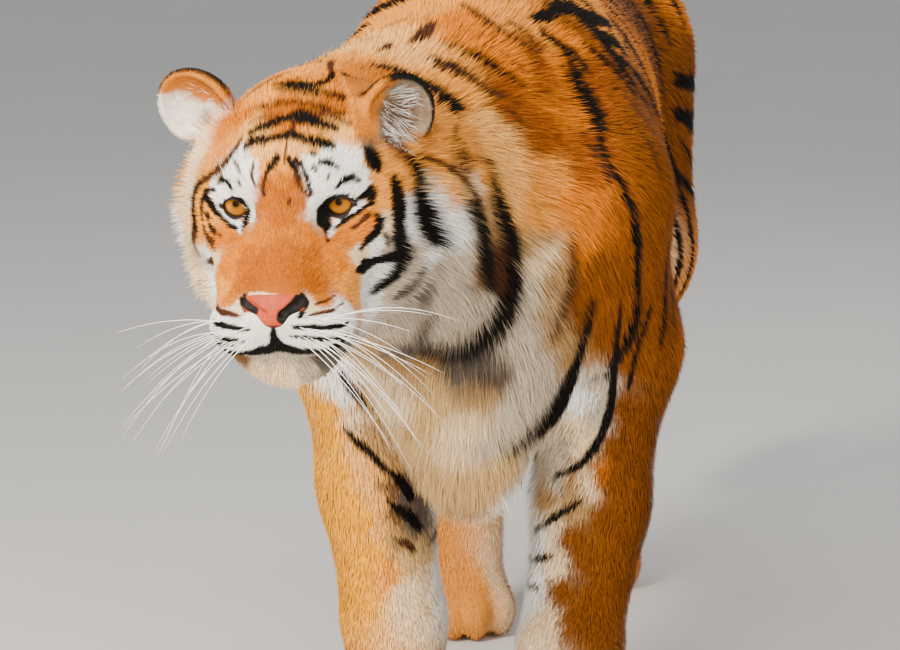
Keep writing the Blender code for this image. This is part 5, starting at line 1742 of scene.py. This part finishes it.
def grown(points, normals, gaps):
    """Root, middle and tip of each tuft, with its width and side."""
    rng = np.random.default_rng(23)
    n = len(points)
    guide = guided(points).astype(float)
    lie, depth, length = guide[:, :3], coat_depth(points), guide[:, 4]
    h = to_head(points)
    pale = np.zeros(n, bool)
    for name, ear in EARS.items():
        axes = ear_axes(ear)
        q = (h - np.array(ear["base"])) @ axes
        inside = on_ear(q)
        up = np.stack([q[:, 0] * 0.4, 0 * q[:, 0], 0.02 + 0 * q[:, 0]], 1)
        cup = (q[:, 0] / 0.034) ** 2 + ((q[:, 2] - 0.030) / 0.040) ** 2
        inner = inside & (q[:, 1] > -0.012) & (cup < 0.8)
        swirl = np.stack([noise_at(points, 0.007, k) for k in (21, 22)], 1) * 0.013
        hollow = np.stack([ear["side"] * 0.015 + swirl[:, 0], 0.009 + 0 * q[:, 0], 0.005 + swirl[:, 1]], 1)
        local = np.where(inner[:, None], hollow, up)
        lie[inside] = (local @ axes.T @ HEAD_AXES.T)[inside]
        depth[inside] = EAR_COAT
        length[inside] = EAR_HAIR
        reach, odds = LONG_EAR_HAIR[name]
        odd = rng.random(n) < odds
        longer = inner & odd & (cup < 0.6) & (q[:, 0] * ear["side"] < 0.012)
        length[longer] = rng.uniform(0.5 * reach, reach, n)[longer]
        pale |= longer
    lie = unit_rows(lie - (lie * normals).sum(1)[:, None] * normals)
    side = np.cross(normals, lie)
    swing = noise_at(points, 0.016, 3) * 0.22 + rng.normal(0, 0.10, n)
    lie = lie * np.cos(swing)[:, None] + side * np.sin(swing)[:, None]
    side = np.cross(normals, lie)
    length = length * rng.uniform(0.72, 1.12, n)
    share = rng.uniform(0.45, 1.0, n) ** 0.8
    height = depth * share
    # a few hairs stand off the rest
    ruff = (np.abs(h[:, 0]) > 0.095) & (h[:, 1] > 0.02) & (h[:, 1] < HEAD_BACK)
    ruff &= (np.abs(h[:, 2]) < 0.2) & (depth > 0.006)
    length = np.where(ruff, length * 1.2, length)
    chin = (h[:, 2] < -0.125) & (h[:, 1] < 0.0) & (h[:, 1] > -0.20) & (np.abs(h[:, 0]) < 0.09)
    odds = np.where(ruff | chin, 0.30, np.where(depth > 0.014, 0.20, 0.14))
    most = np.where(ruff | chin, 0.95, np.where(depth > 0.014, 0.65, 0.45))
    length = np.where(chin, length * 1.5, length)
    stray = np.where(rng.random(n) < odds, rng.uniform(0.10, 1, n) * most, 0) * np.minimum(depth, 0.014)
    middle = points + lie * (MIDDLE_ALONG * length)[:, None] + normals * (MIDDLE_UP * height)[:, None]
    tip = points + lie * length[:, None] + normals * height[:, None]
    # bring tips to the outline of the coat, so that they follow its curves
    away = tiger_field(tip) + depth - height
    tip -= normals * (np.clip(away, -0.5 * length, 0.5 * length) - stray)[:, None]
    middle -= normals * np.clip(away * 0.30, -0.2 * length, 0.2 * length)[:, None]
    width = np.minimum(gaps * 0.72, length * 0.16) * np.where(pale, 0.45, 1)
    return middle, tip, side, width, lie, height / np.maximum(depth, 1e-6), pale


def tufts(name, points, normals, middle, tip, side, width, colours, tips, share):
    """Joined mesh of one region's tufts: a strip to the middle, then a point."""
    rng = np.random.default_rng(len(points))
    n = len(points)
    root = points - normals * ROOT_DEPTH
    half = side * (width / 2)[:, None]
    verts = np.stack([root - half * 0.8, root + half * 0.8, middle + half, middle - half, tip], 1).reshape(-1, 3)
    base = np.arange(n)[:, None] * 5
    corners = (base + np.array([1, 0, 3, 2, 2, 3, 4])).ravel()
    sizes = np.tile([4, 3], n)
    mesh = new_mesh(name, verts, sizes, corners)
    # long hair parts into light and dark locks, short hair is flecked
    long = np.clip((np.linalg.norm(tip - points, axis=1) - 0.014) / 0.020, 0, 1)
    locks = noise_at(points, LOCKS[0], 12) * (1 - long) + noise_at(points, LOCKS[1], 13) * long
    # tufts that lie lower in the coat are painted darker, as in shade
    bright = rng.uniform(0.74, 1.22, n) * (0.76 + 0.28 * share) * (1 + (0.16 + 0.08 * long) * locks)
    bright = bright[:, None] + rng.normal(0, 0.02, (n, 3))
    low, high = colours * bright, tips * bright
    shades = np.stack([c * k for c, k in zip((low, low, low, low, high), CORNER_SHADES)], 1).reshape(-1, 3)
    shades = np.clip(shades, 0.003, 0.95)
    colour_layer(mesh, "coat", shades)
    chart = np.clip(charted(name, points), 0.003, 0.997)
    patch = np.array([[-1, -1], [1, -1], [1, 0], [-1, 0], [0, 1]]) * 0.0015
    uv = (chart[:, None] + patch[None]).reshape(-1, 2)[corners]
    layer = mesh.uv_layers.new(name="OFBake")
    layer.uv.foreach_set("vector", uv.astype(np.float32).ravel())
    shape = np.cross(tip - root, half)
    shape = unit_rows(shape * np.sign((shape * normals).sum(1) + 1e-12)[:, None])
    lit = unit_rows(normals * 0.75 + shape * 0.25 + rng.normal(0, 0.10, (n, 3)))
    flat = np.repeat(lit, 5, axis=0)
    mesh.normals_split_custom_set_from_vertices(flat.astype(np.float32))
    return mesh


# ------------------------------------------------------------------ materials
def shader(name, roughness, **values):
    """A new material: itself, its nodes and its main shader."""
    mat = bpy.data.materials.new(name)
    mat.use_nodes = True
    node = mat.node_tree.nodes["Principled BSDF"]
    node.inputs["Roughness"].default_value = roughness
    for key, value in values.items():
        node.inputs[key.replace("_", " ")].default_value = value
    return mat, mat.node_tree, node


def linked(tree, kind, inputs=(), **settings):
    """A new node, with inputs set to values or linked to other nodes' outputs."""
    node = tree.nodes.new(kind)
    for key, value in settings.items():
        setattr(node, key, value)
    for key, value in inputs:
        if isinstance(value, bpy.types.NodeSocket):
            tree.links.new(value, node.inputs[key])
        else:
            node.inputs[key].default_value = value
    return node


def varied(tree, colour, scale, amount):
    """A colour made lighter and darker by fine noise."""
    place = linked(tree, "ShaderNodeTexCoord").outputs["Object"]
    noise = linked(tree, "ShaderNodeTexNoise", [("Vector", place), ("Scale", scale), ("Detail", 3.0)])
    span = linked(tree, "ShaderNodeMapRange", [("Value", noise.outputs["Fac"]), ("From Min", 0.3), ("From Max", 0.7),
                                               ("To Min", 1 - amount), ("To Max", 1 + amount)])
    mixed = linked(tree, "ShaderNodeVectorMath", [(0, colour), ("Scale", span.outputs["Result"])], operation="SCALE")
    return mixed.outputs["Vector"], noise.outputs["Fac"]


def painted(name, roughness, specular, scale, amount, bump=0.0, cells=0.0):
    """A material that wears the mesh's own colours, with grain and bump if asked."""
    mat, tree, node = shader(name, roughness, Specular_IOR_Level=specular)
    colour = linked(tree, "ShaderNodeAttribute", attribute_name="coat").outputs["Color"]
    mixed, height = varied(tree, colour, scale, amount)
    tree.links.new(mixed, node.inputs["Base Color"])
    if cells:
        place = linked(tree, "ShaderNodeTexCoord").outputs["Object"]
        pebbles = linked(tree, "ShaderNodeTexVoronoi", [("Vector", place), ("Scale", cells)])
        height = pebbles.outputs["Distance"]
    if bump:
        relief = linked(tree, "ShaderNodeBump", [("Height", height), ("Strength", bump), ("Distance", 0.0006)])
        tree.links.new(relief.outputs["Normal"], node.inputs["Normal"])
    return mat


def ramp(tree, value, stops):
    """Colour picked by a value from 0 to 1: stops are (place, colour)."""
    node = linked(tree, "ShaderNodeValToRGB", [("Fac", value)])
    elements = node.color_ramp.elements
    for element, (position, colour) in ((elements[0], stops[0]), (elements[1], stops[-1])):
        element.position, element.color = position, (*colour, 1)
    for position, colour in stops[1:-1]:
        elements.new(position).color = (*colour, 1)
    return node.outputs["Color"]


def eye_material():
    """Wet eye: black pupil, amber iris with a dark rim, dark beyond it."""
    mat, tree, node = shader("eye_wet", 0.30, Specular_IOR_Level=0.0, Coat_Weight=0.10, Coat_Roughness=0.03)
    away = linked(tree, "ShaderNodeAttribute", attribute_name="from_pupil").outputs["Fac"]
    place = linked(tree, "ShaderNodeTexCoord").outputs["Object"]
    grain = linked(tree, "ShaderNodeTexNoise", [("Vector", place), ("Scale", 420.0), ("Detail", 4.0)])
    shift = linked(tree, "ShaderNodeMapRange", [("Value", grain.outputs["Fac"]), ("To Min", -0.0007),
                                                ("To Max", 0.0007)])
    total = linked(tree, "ShaderNodeMath", [(0, away), (1, shift.outputs["Result"])], operation="ADD")
    span = linked(tree, "ShaderNodeMapRange", [("Value", total.outputs["Value"]), ("From Max", EYE_RADIUS)])
    # from the middle of the pupil out: share of the eye's radius, colour
    stops = [(0.0, (0.003, 0.003, 0.003)), (0.165, (0.004, 0.003, 0.002)), (0.20, (0.12, 0.050, 0.005)),
             (0.34, (0.34, 0.130, 0.010)), (0.58, (0.50, 0.185, 0.013)), (0.70, (0.24, 0.080, 0.008)),
             (0.765, (0.012, 0.008, 0.005)), (0.85, (0.012, 0.009, 0.008)), (1.0, (0.014, 0.010, 0.009))]
    tree.links.new(ramp(tree, span.outputs["Result"], stops), node.inputs["Base Color"])
    return mat


# ------------------------------------------------------------ eyes and whiskers
GAZE_UP = 18.0               # degrees above the way the face points
CORNEA = 0.0105              # half width of the clear bulge at the front
CORNEA_RISE = 0.0011         # how far it stands out of the ball


def eyeball(name, s, mat):
    """Ball with a slightly bulging front, turned to look straight ahead."""
    rings, spokes = 64, 72
    verts, away = [], []
    look = math.radians(GAZE_UP)
    axis = HEAD_AXES @ np.array([0, -math.cos(look), math.sin(look)])
    out = HEAD_AXES @ np.array([1.0, 0, 0])
    up = np.cross(out, axis)
    centre = from_head([s * EYE_SPACING / 2, EYE_DEPTH, 0.0])
    for i in range(rings + 1):
        a = math.pi * (i / rings) ** 1.15
        across = EYE_RADIUS * math.sin(a)
        bulge = CORNEA_RISE * max(0.0, 1 - (across / CORNEA) ** 2) if a < math.pi / 2 else 0.0
        for j in range(spokes):
            turn = 2 * math.pi * j / spokes
            radial = out * math.cos(turn) + up * math.sin(turn)
            verts.append(centre + axis * (EYE_RADIUS * math.cos(a) + bulge) + radial * across)
            away.append(across if a < math.pi / 2 else 2 * EYE_RADIUS - across)
    quads = []
    for i in range(rings):
        for j in range(spokes):
            k = (j + 1) % spokes
            quads.append([i * spokes + j, (i + 1) * spokes + j, (i + 1) * spokes + k, i * spokes + k])
    bm = bmesh.new()
    layer = bm.verts.layers.float.new("from_pupil")
    made = [bm.verts.new(v) for v in verts]
    for v, value in zip(made, away):
        v[layer] = value
    for q in quads:
        bm.faces.new([made[i] for i in q])
    bmesh.ops.remove_doubles(bm, verts=bm.verts, dist=0.000005)
    bmesh.ops.recalc_face_normals(bm, faces=bm.faces)
    bmesh.ops.translate(bm, verts=bm.verts, vec=CENTRING)
    mesh = bpy.data.meshes.new(name)
    bm.to_mesh(mesh)
    bm.free()
    mesh.shade_smooth()
    return piece(name, mesh, mat, "eye", name)


def tube(line, radii, sides=5):
    """Closed tapering rod through a line of points."""
    line = np.asarray(line, float)
    along = unit_rows(np.gradient(line, axis=0))
    side = unit_rows(np.cross(along, (0.31, 0.17, 0.93)))
    up = np.cross(along, side)
    turns = 2 * math.pi * np.arange(sides) / sides
    ring = np.cos(turns)[None, :, None] * side[:, None] + np.sin(turns)[None, :, None] * up[:, None]
    verts = (line[:, None] + ring * np.asarray(radii)[:, None, None]).reshape(-1, 3)
    faces = []
    for i in range(len(line) - 1):
        for j in range(sides):
            k = (j + 1) % sides
            faces.append([i * sides + j, i * sides + k, (i + 1) * sides + k, (i + 1) * sides + j])
    faces.append(list(range(sides))[::-1])
    faces.append([(len(line) - 1) * sides + j for j in range(sides)])
    return verts, faces


WHISKER_ROOM = 0.345         # farthest a whisker's tip stands to the tiger's right
WHISKER_SPAN = (0.085, 0.145)
WHISKER_DROOP = (0.025, 0.065)
WHISKER_RADIUS = 0.00044
BROW_SPAN = (0.025, 0.040)   # the short stiff hairs over the eyes
BROW_RADIUS = 0.00028
WHISKER_ROWS = [(-0.070, 4, 0.034, 0.060), (-0.079, 6, 0.028, 0.066),    # height, how many, first and
                (-0.088, 6, 0.028, 0.068), (-0.097, 5, 0.032, 0.066)]    # last place across


def whiskers(skin_tree, mat):
    """Long stiff hairs from rows on the muzzle pads, and a few over the eyes."""
    rng = np.random.default_rng(5)
    verts, sizes, corners = [], [], []
    total = 0

    def add(root, aim, length, radius, droop):
        nonlocal total
        t = np.linspace(0, 1, 14)[:, None]
        sag = np.array([0, 0.35, -1.0]) * droop
        # none reaches farther aside than the room allows
        length *= min(1.0, (WHISKER_ROOM + root[0]) / max(1e-6, -aim[0] * length))
        line = root + aim * length * t + sag * t ** 2
        radii = radius * (1 - t[:, 0]) ** 0.7 + 0.00009
        v, faces = tube(line, radii)
        for f in faces:
            sizes.append(len(f))
            corners.extend(i + total for i in f)
        verts.append(v)
        total += len(v)

    for s in (1, -1):
        for row, (z, count, x0, x1) in enumerate(WHISKER_ROWS):
            for k in range(count):
                x = x0 + (x1 - x0) * k / (count - 1)
                start = from_head([s * x, -0.3, z - 0.25 * (x - x0) + rng.uniform(-0.001, 0.001)])
                hit = skin_tree.ray_cast(Vector(start), Vector(HEAD_AXES[:, 1]))[0]
                if hit is None:
                    continue
                sweep = 0.15 + 0.9 * k / count
                aim = unit([s * (1.0 - 0.25 * sweep), -0.35 + sweep * 0.5, 0.16 - 0.30 * row + rng.normal(0, 0.08)])
                length = rng.uniform(*WHISKER_SPAN) + 0.015 * (k / count)
                add(np.array(hit), HEAD_AXES @ aim, length, WHISKER_RADIUS, rng.uniform(*WHISKER_DROOP))
        for k in range(3):
            start = from_head([s * (0.050 + 0.006 * k), -0.3, 0.024 + 0.002 * k])
            hit = skin_tree.ray_cast(Vector(start), Vector(HEAD_AXES[:, 1]))[0]
            if hit is not None:
                aim = unit([s * 0.35, -0.5 + 0.1 * k, 1.0])
                add(np.array(hit), HEAD_AXES @ aim, rng.uniform(*BROW_SPAN), BROW_RADIUS, -0.004)
    mesh = new_mesh("whiskers", np.concatenate(verts), np.array(sizes), np.array(corners))
    colour_layer(mesh, "coat", np.tile(TONES["white"], (total, 1)))
    return piece("whiskers", mesh, mat, "coat_cream")


# box round the nose, in the head: its middle and half its size
NOSE_MIDDLE, NOSE_BOX = (0, -0.143, -0.060), (0.050, 0.044, 0.040)
NOSE_GRID = 0.0012
NOSE_PROUD = 0.0005          # how far the leather stands out of the skin round it
# black parts of the nose, across and up the face: from, to, half width; painted shade in the nostrils, and on the
# left the shadow cast by the wing of the nose
NOSTRIL_SHADE = [((0.012, -0.0665), (0.034, -0.0490), 0.0080), ((0.034, -0.0490), (0.044, -0.0600), 0.0090),
                 ((-0.021, -0.0615), (-0.034, -0.0555), 0.0042)]


def nose(mat):
    """Bare leather of the nose, pink with black nostrils."""
    def leather(points):
        h = to_head(points)
        return -smooth_min(-(skin_field(points) - NOSE_PROUD), -nose_pad(h), 0.002)

    low = from_head(np.array(NOSE_MIDDLE)) - NOSE_BOX
    values = sampled(leather, low, low + np.multiply(NOSE_BOX, 2), NOSE_GRID, ratio=3)
    verts, quads = surface(values, low, NOSE_GRID)
    mesh = new_mesh("nose", verts, np.full(len(quads), 4), quads.ravel())
    h = to_head(verts)
    pink, dark = np.array(TONES["pink"]), np.array(TONES["black"])
    colours = np.tile(pink, (len(verts), 1)) * (1 + 0.12 * noise_at(verts, 0.006, 9)[:, None])
    flat = h[:, [0, 2]]
    for a, b, wide in NOSTRIL_SHADE:
        a, b = np.array(a), np.array(b)
        t = np.clip((flat - a) @ (b - a) / ((b - a) @ (b - a)), 0, 1)
        away = np.linalg.norm(flat - a - t[:, None] * (b - a), axis=1) - wide
        colours += (dark - colours) * np.clip(0.5 - away / 0.0016, 0, 1)[:, None]
    low_edge = np.clip((-0.0735 - h[:, 2]) / 0.003, 0, 1) * np.clip(1 - np.abs(h[:, 0]) / 0.02, 0, 1)
    colours += (dark - colours) * low_edge[:, None]
    colour_layer(mesh, "coat", colours)
    return piece("nose", mesh, mat, "nose_leather", "nose")


# --------------------------------------------------------------------- putting
LID_RIM = (0.02, 0.014, 0.012)       # colour of the lids' bare rims
UNDERCOAT = 0.8                      # brightness of the skin, by that of the hair over it


def skin_colours(verts, normals, marks):
    """The coat's colours on the skin, a little darker, with dark lids, tear lines and lips."""
    depth = coat_depth(verts)
    colours = coat_colour(verts + normals * depth[:, None], normals, marks) * UNDERCOAT
    h = to_head(verts)
    near = np.flatnonzero((np.abs(h) < 0.2).all(1))
    q = h[near]
    part = colours[near]
    black, rim = np.array(TONES["black"]), np.array(LID_RIM)
    for s in (1, -1):
        at_eye = np.linalg.norm(q - (s * EYE_SPACING / 2, EYE_DEPTH, 0), axis=1) < 0.032
        k = np.clip(0.5 - (eye_opening(q, s) - 0.0032) / 0.0010, 0, 1) * at_eye
        part += (rim - part) * k[:, None]
        k = np.clip(0.5 - round_cone(q, *tear_line(s), 0.0050, 0.0036) / 0.0012, 0, 1)
        part += (black - part) * k[:, None]
    left, right = np.array([0.05, -0.13, -0.115]), np.array([-0.05, -0.13, -0.115])
    lip = np.clip(0.5 - round_cone(q, right, left, 0.006, 0.006) / 0.003, 0, 1)
    part += (black - part) * lip[:, None]
    colours[near] = part
    return colours


def grow_coat(verts, tris, normals, body_verts, marks, mat):
    """Tufts on the open side of the skin, one mesh for each region."""
    owner = tris.max(1) < body_verts
    outer = np.abs(tiger_field(verts) + coat_depth(verts)) < 0.006
    h = to_head(verts[tris].mean(1))
    in_head = (h[:, 1] < HEAD_BACK) & (h[:, 2] > HEAD_FLOOR)
    keep = outer[tris].all(1) & (owner != in_head)
    keep &= verts[tris].mean(1)[:, 2] > 0.0025
    points, dirs, gaps = roots_on(verts, tris, normals, keep)
    free = ~bare(to_head(points))
    points, dirs, gaps = points[free], dirs[free], gaps[free]
    middle, tip, side, width, lie, share, pale = grown(points, dirs, gaps)
    for line in (middle, tip):
        line[:, 2] = np.maximum(line[:, 2], 0.001)
    # a tuft wears the colour of the places it crosses, drawn out a little along it
    stray = np.random.default_rng(31).normal(0, 0.0014, len(tip))[:, None] * lie
    colours = coat_colour(middle + (tip - middle) * 0.25 + stray, dirs, marks)
    tips = coat_colour(middle + (tip - middle) * 0.85 + stray, dirs, marks)
    colours[pale] = np.array(TONES["white"]) * 0.9
    tips[pale] = TONES["white"]
    region = regions_of(points)
    for name in sorted(set(region)):
        i = np.flatnonzero(region == name)
        mesh = tufts(name, points[i], dirs[i], middle[i], tip[i], side[i], width[i], colours[i], tips[i], share[i])
        mesh.name = "coat_" + name
        piece("coat_" + name, mesh, mat, "coat_orange")


# name, way to the lamp, its distance, its size and its power
LAMPS = [("key", (-0.55, -0.80, 0.78), 4.0, 0.8, 280), ("fill", (-0.10, -1.0, 0.16), 4.5, 3.0, 225),
         ("side", (0.75, -0.90, 0.35), 4.5, 2.5, 75), ("top", (0.1, 0.15, 1.0), 3.5, 3.0, 60),
         ("back", (0.4, 1.0, 0.6), 4.5, 2.5, 30)]
LAMP_COLOUR = (1.0, 0.92, 0.82)
LAMPS_AIM = (0.15, 0.35, -0.15)      # from the eyes to the place the lamps are turned to
SKY, SKY_STRENGTH = (0.96, 0.97, 1.0), 0.50
LENS, CAMERA_WAY = 236.0, 6.5        # millimetres; metres from the eyes
CAMERA_TURN, CAMERA_RISE = 7, 8      # degrees to the tiger's left of its nose, and above its eyes
EYES_LEFT, EYES_UP = 1.566, 1.165    # degrees the eyes stand off the middle of the picture


def shown(name, data):
    """A new object in the scene."""
    obj = bpy.data.objects.new(name, data)
    bpy.context.scene.collection.objects.link(obj)
    return obj


def studio():
    """Pale floor, soft lights and the camera."""
    mat, tree, node = shader("studio_floor", 0.75)
    place = linked(tree, "ShaderNodeTexCoord").outputs["Object"]
    noise = linked(tree, "ShaderNodeTexNoise", [("Vector", place), ("Scale", 3.0), ("Detail", 4.0)])
    pale = ramp(tree, noise.outputs["Fac"], [(0.0, (0.60, 0.60, 0.59)), (1.0, (0.66, 0.66, 0.65))])
    tree.links.new(pale, node.inputs["Base Color"])
    mesh = bpy.data.meshes.new("studio_floor")
    mesh.from_pydata([(-30, -30, -0.001), (30, -30, -0.001), (30, 60, -0.001), (-30, 60, -0.001)], [], [(0, 1, 2, 3)])
    mesh.materials.append(mat)
    floor = shown("studio_floor", mesh)

    eyes = Vector(np.array(EYE_LINE) + np.array(CENTRING))
    for name, way, distance, size, power in LAMPS:
        lamp = bpy.data.lights.new(name, "AREA")
        lamp.size, lamp.energy = size, power
        lamp.color = LAMP_COLOUR
        obj = shown(name, lamp)
        aim = Vector(way).normalized()
        target = eyes + Vector(LAMPS_AIM)
        obj.location = target + aim * distance
        obj.rotation_euler = aim.to_track_quat("Z", "Y").to_euler()
    world = bpy.data.worlds.new("studio")
    world.use_nodes = True
    sky = world.node_tree.nodes["Background"]
    sky.inputs["Color"].default_value = (*SKY, 1)
    sky.inputs["Strength"].default_value = SKY_STRENGTH
    bpy.context.scene.world = world

    # the camera stands a little to the tiger's left of its face, above it
    camera = bpy.data.cameras.new("camera")
    camera.sensor_width, camera.lens = 36.0, LENS
    camera.clip_end = 100
    turn, rise = math.radians(CAMERA_TURN), math.radians(CAMERA_RISE)
    back = Vector((math.sin(turn) * math.cos(rise), -math.cos(turn) * math.cos(rise), math.sin(rise)))
    obj = shown("camera", camera)
    obj.location = eyes + back * CAMERA_WAY
    level = back.to_track_quat("Z", "Y")
    # the eyes stand a little left of the middle of the picture and above it
    aside = Vector((-math.tan(math.radians(EYES_LEFT)), math.tan(math.radians(EYES_UP)), -1)).normalized()
    target = level @ aside
    obj.rotation_euler = (target.rotation_difference(-back) @ level).to_euler()
    bpy.context.scene.camera = obj


def main():
    """Skin, nose, eyes, whiskers and coat, then the studio round them."""
    marks = laid_markings(coat_surface())
    verts, sizes, corners, body_verts = skin_shape()
    tris = triangles_of(sizes, corners)
    normals = vertex_normals(verts, tris)
    mesh = new_mesh("skin", verts, sizes, corners)
    colour_layer(mesh, "coat", skin_colours(verts, normals, marks))
    flesh = sorted(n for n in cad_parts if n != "nose" and not n.startswith("eye"))
    piece("skin", mesh, painted("skin_under_coat", 0.60, 0.12, 700.0, 0.12, bump=0.35), "coat_orange", *flesh)
    skin_tree = BVHTree.FromPolygons([tuple(v) for v in verts], [tuple(t) for t in tris.tolist()])
    nose(painted("nose_leather_skin", 0.50, 0.15, 500.0, 0.10, bump=0.4, cells=900.0))
    eyes = eye_material()
    for name, s in (("eye_left", 1), ("eye_right", -1)):
        eyeball(name, s, eyes)
    whiskers(skin_tree, painted("whisker_hair", 0.35, 0.50, 300.0, 0.05))
    grow_coat(verts, tris, normals, body_verts, marks, painted("coat_hair", 0.60, 0.05, 260.0, 0.10))
    studio()


main()
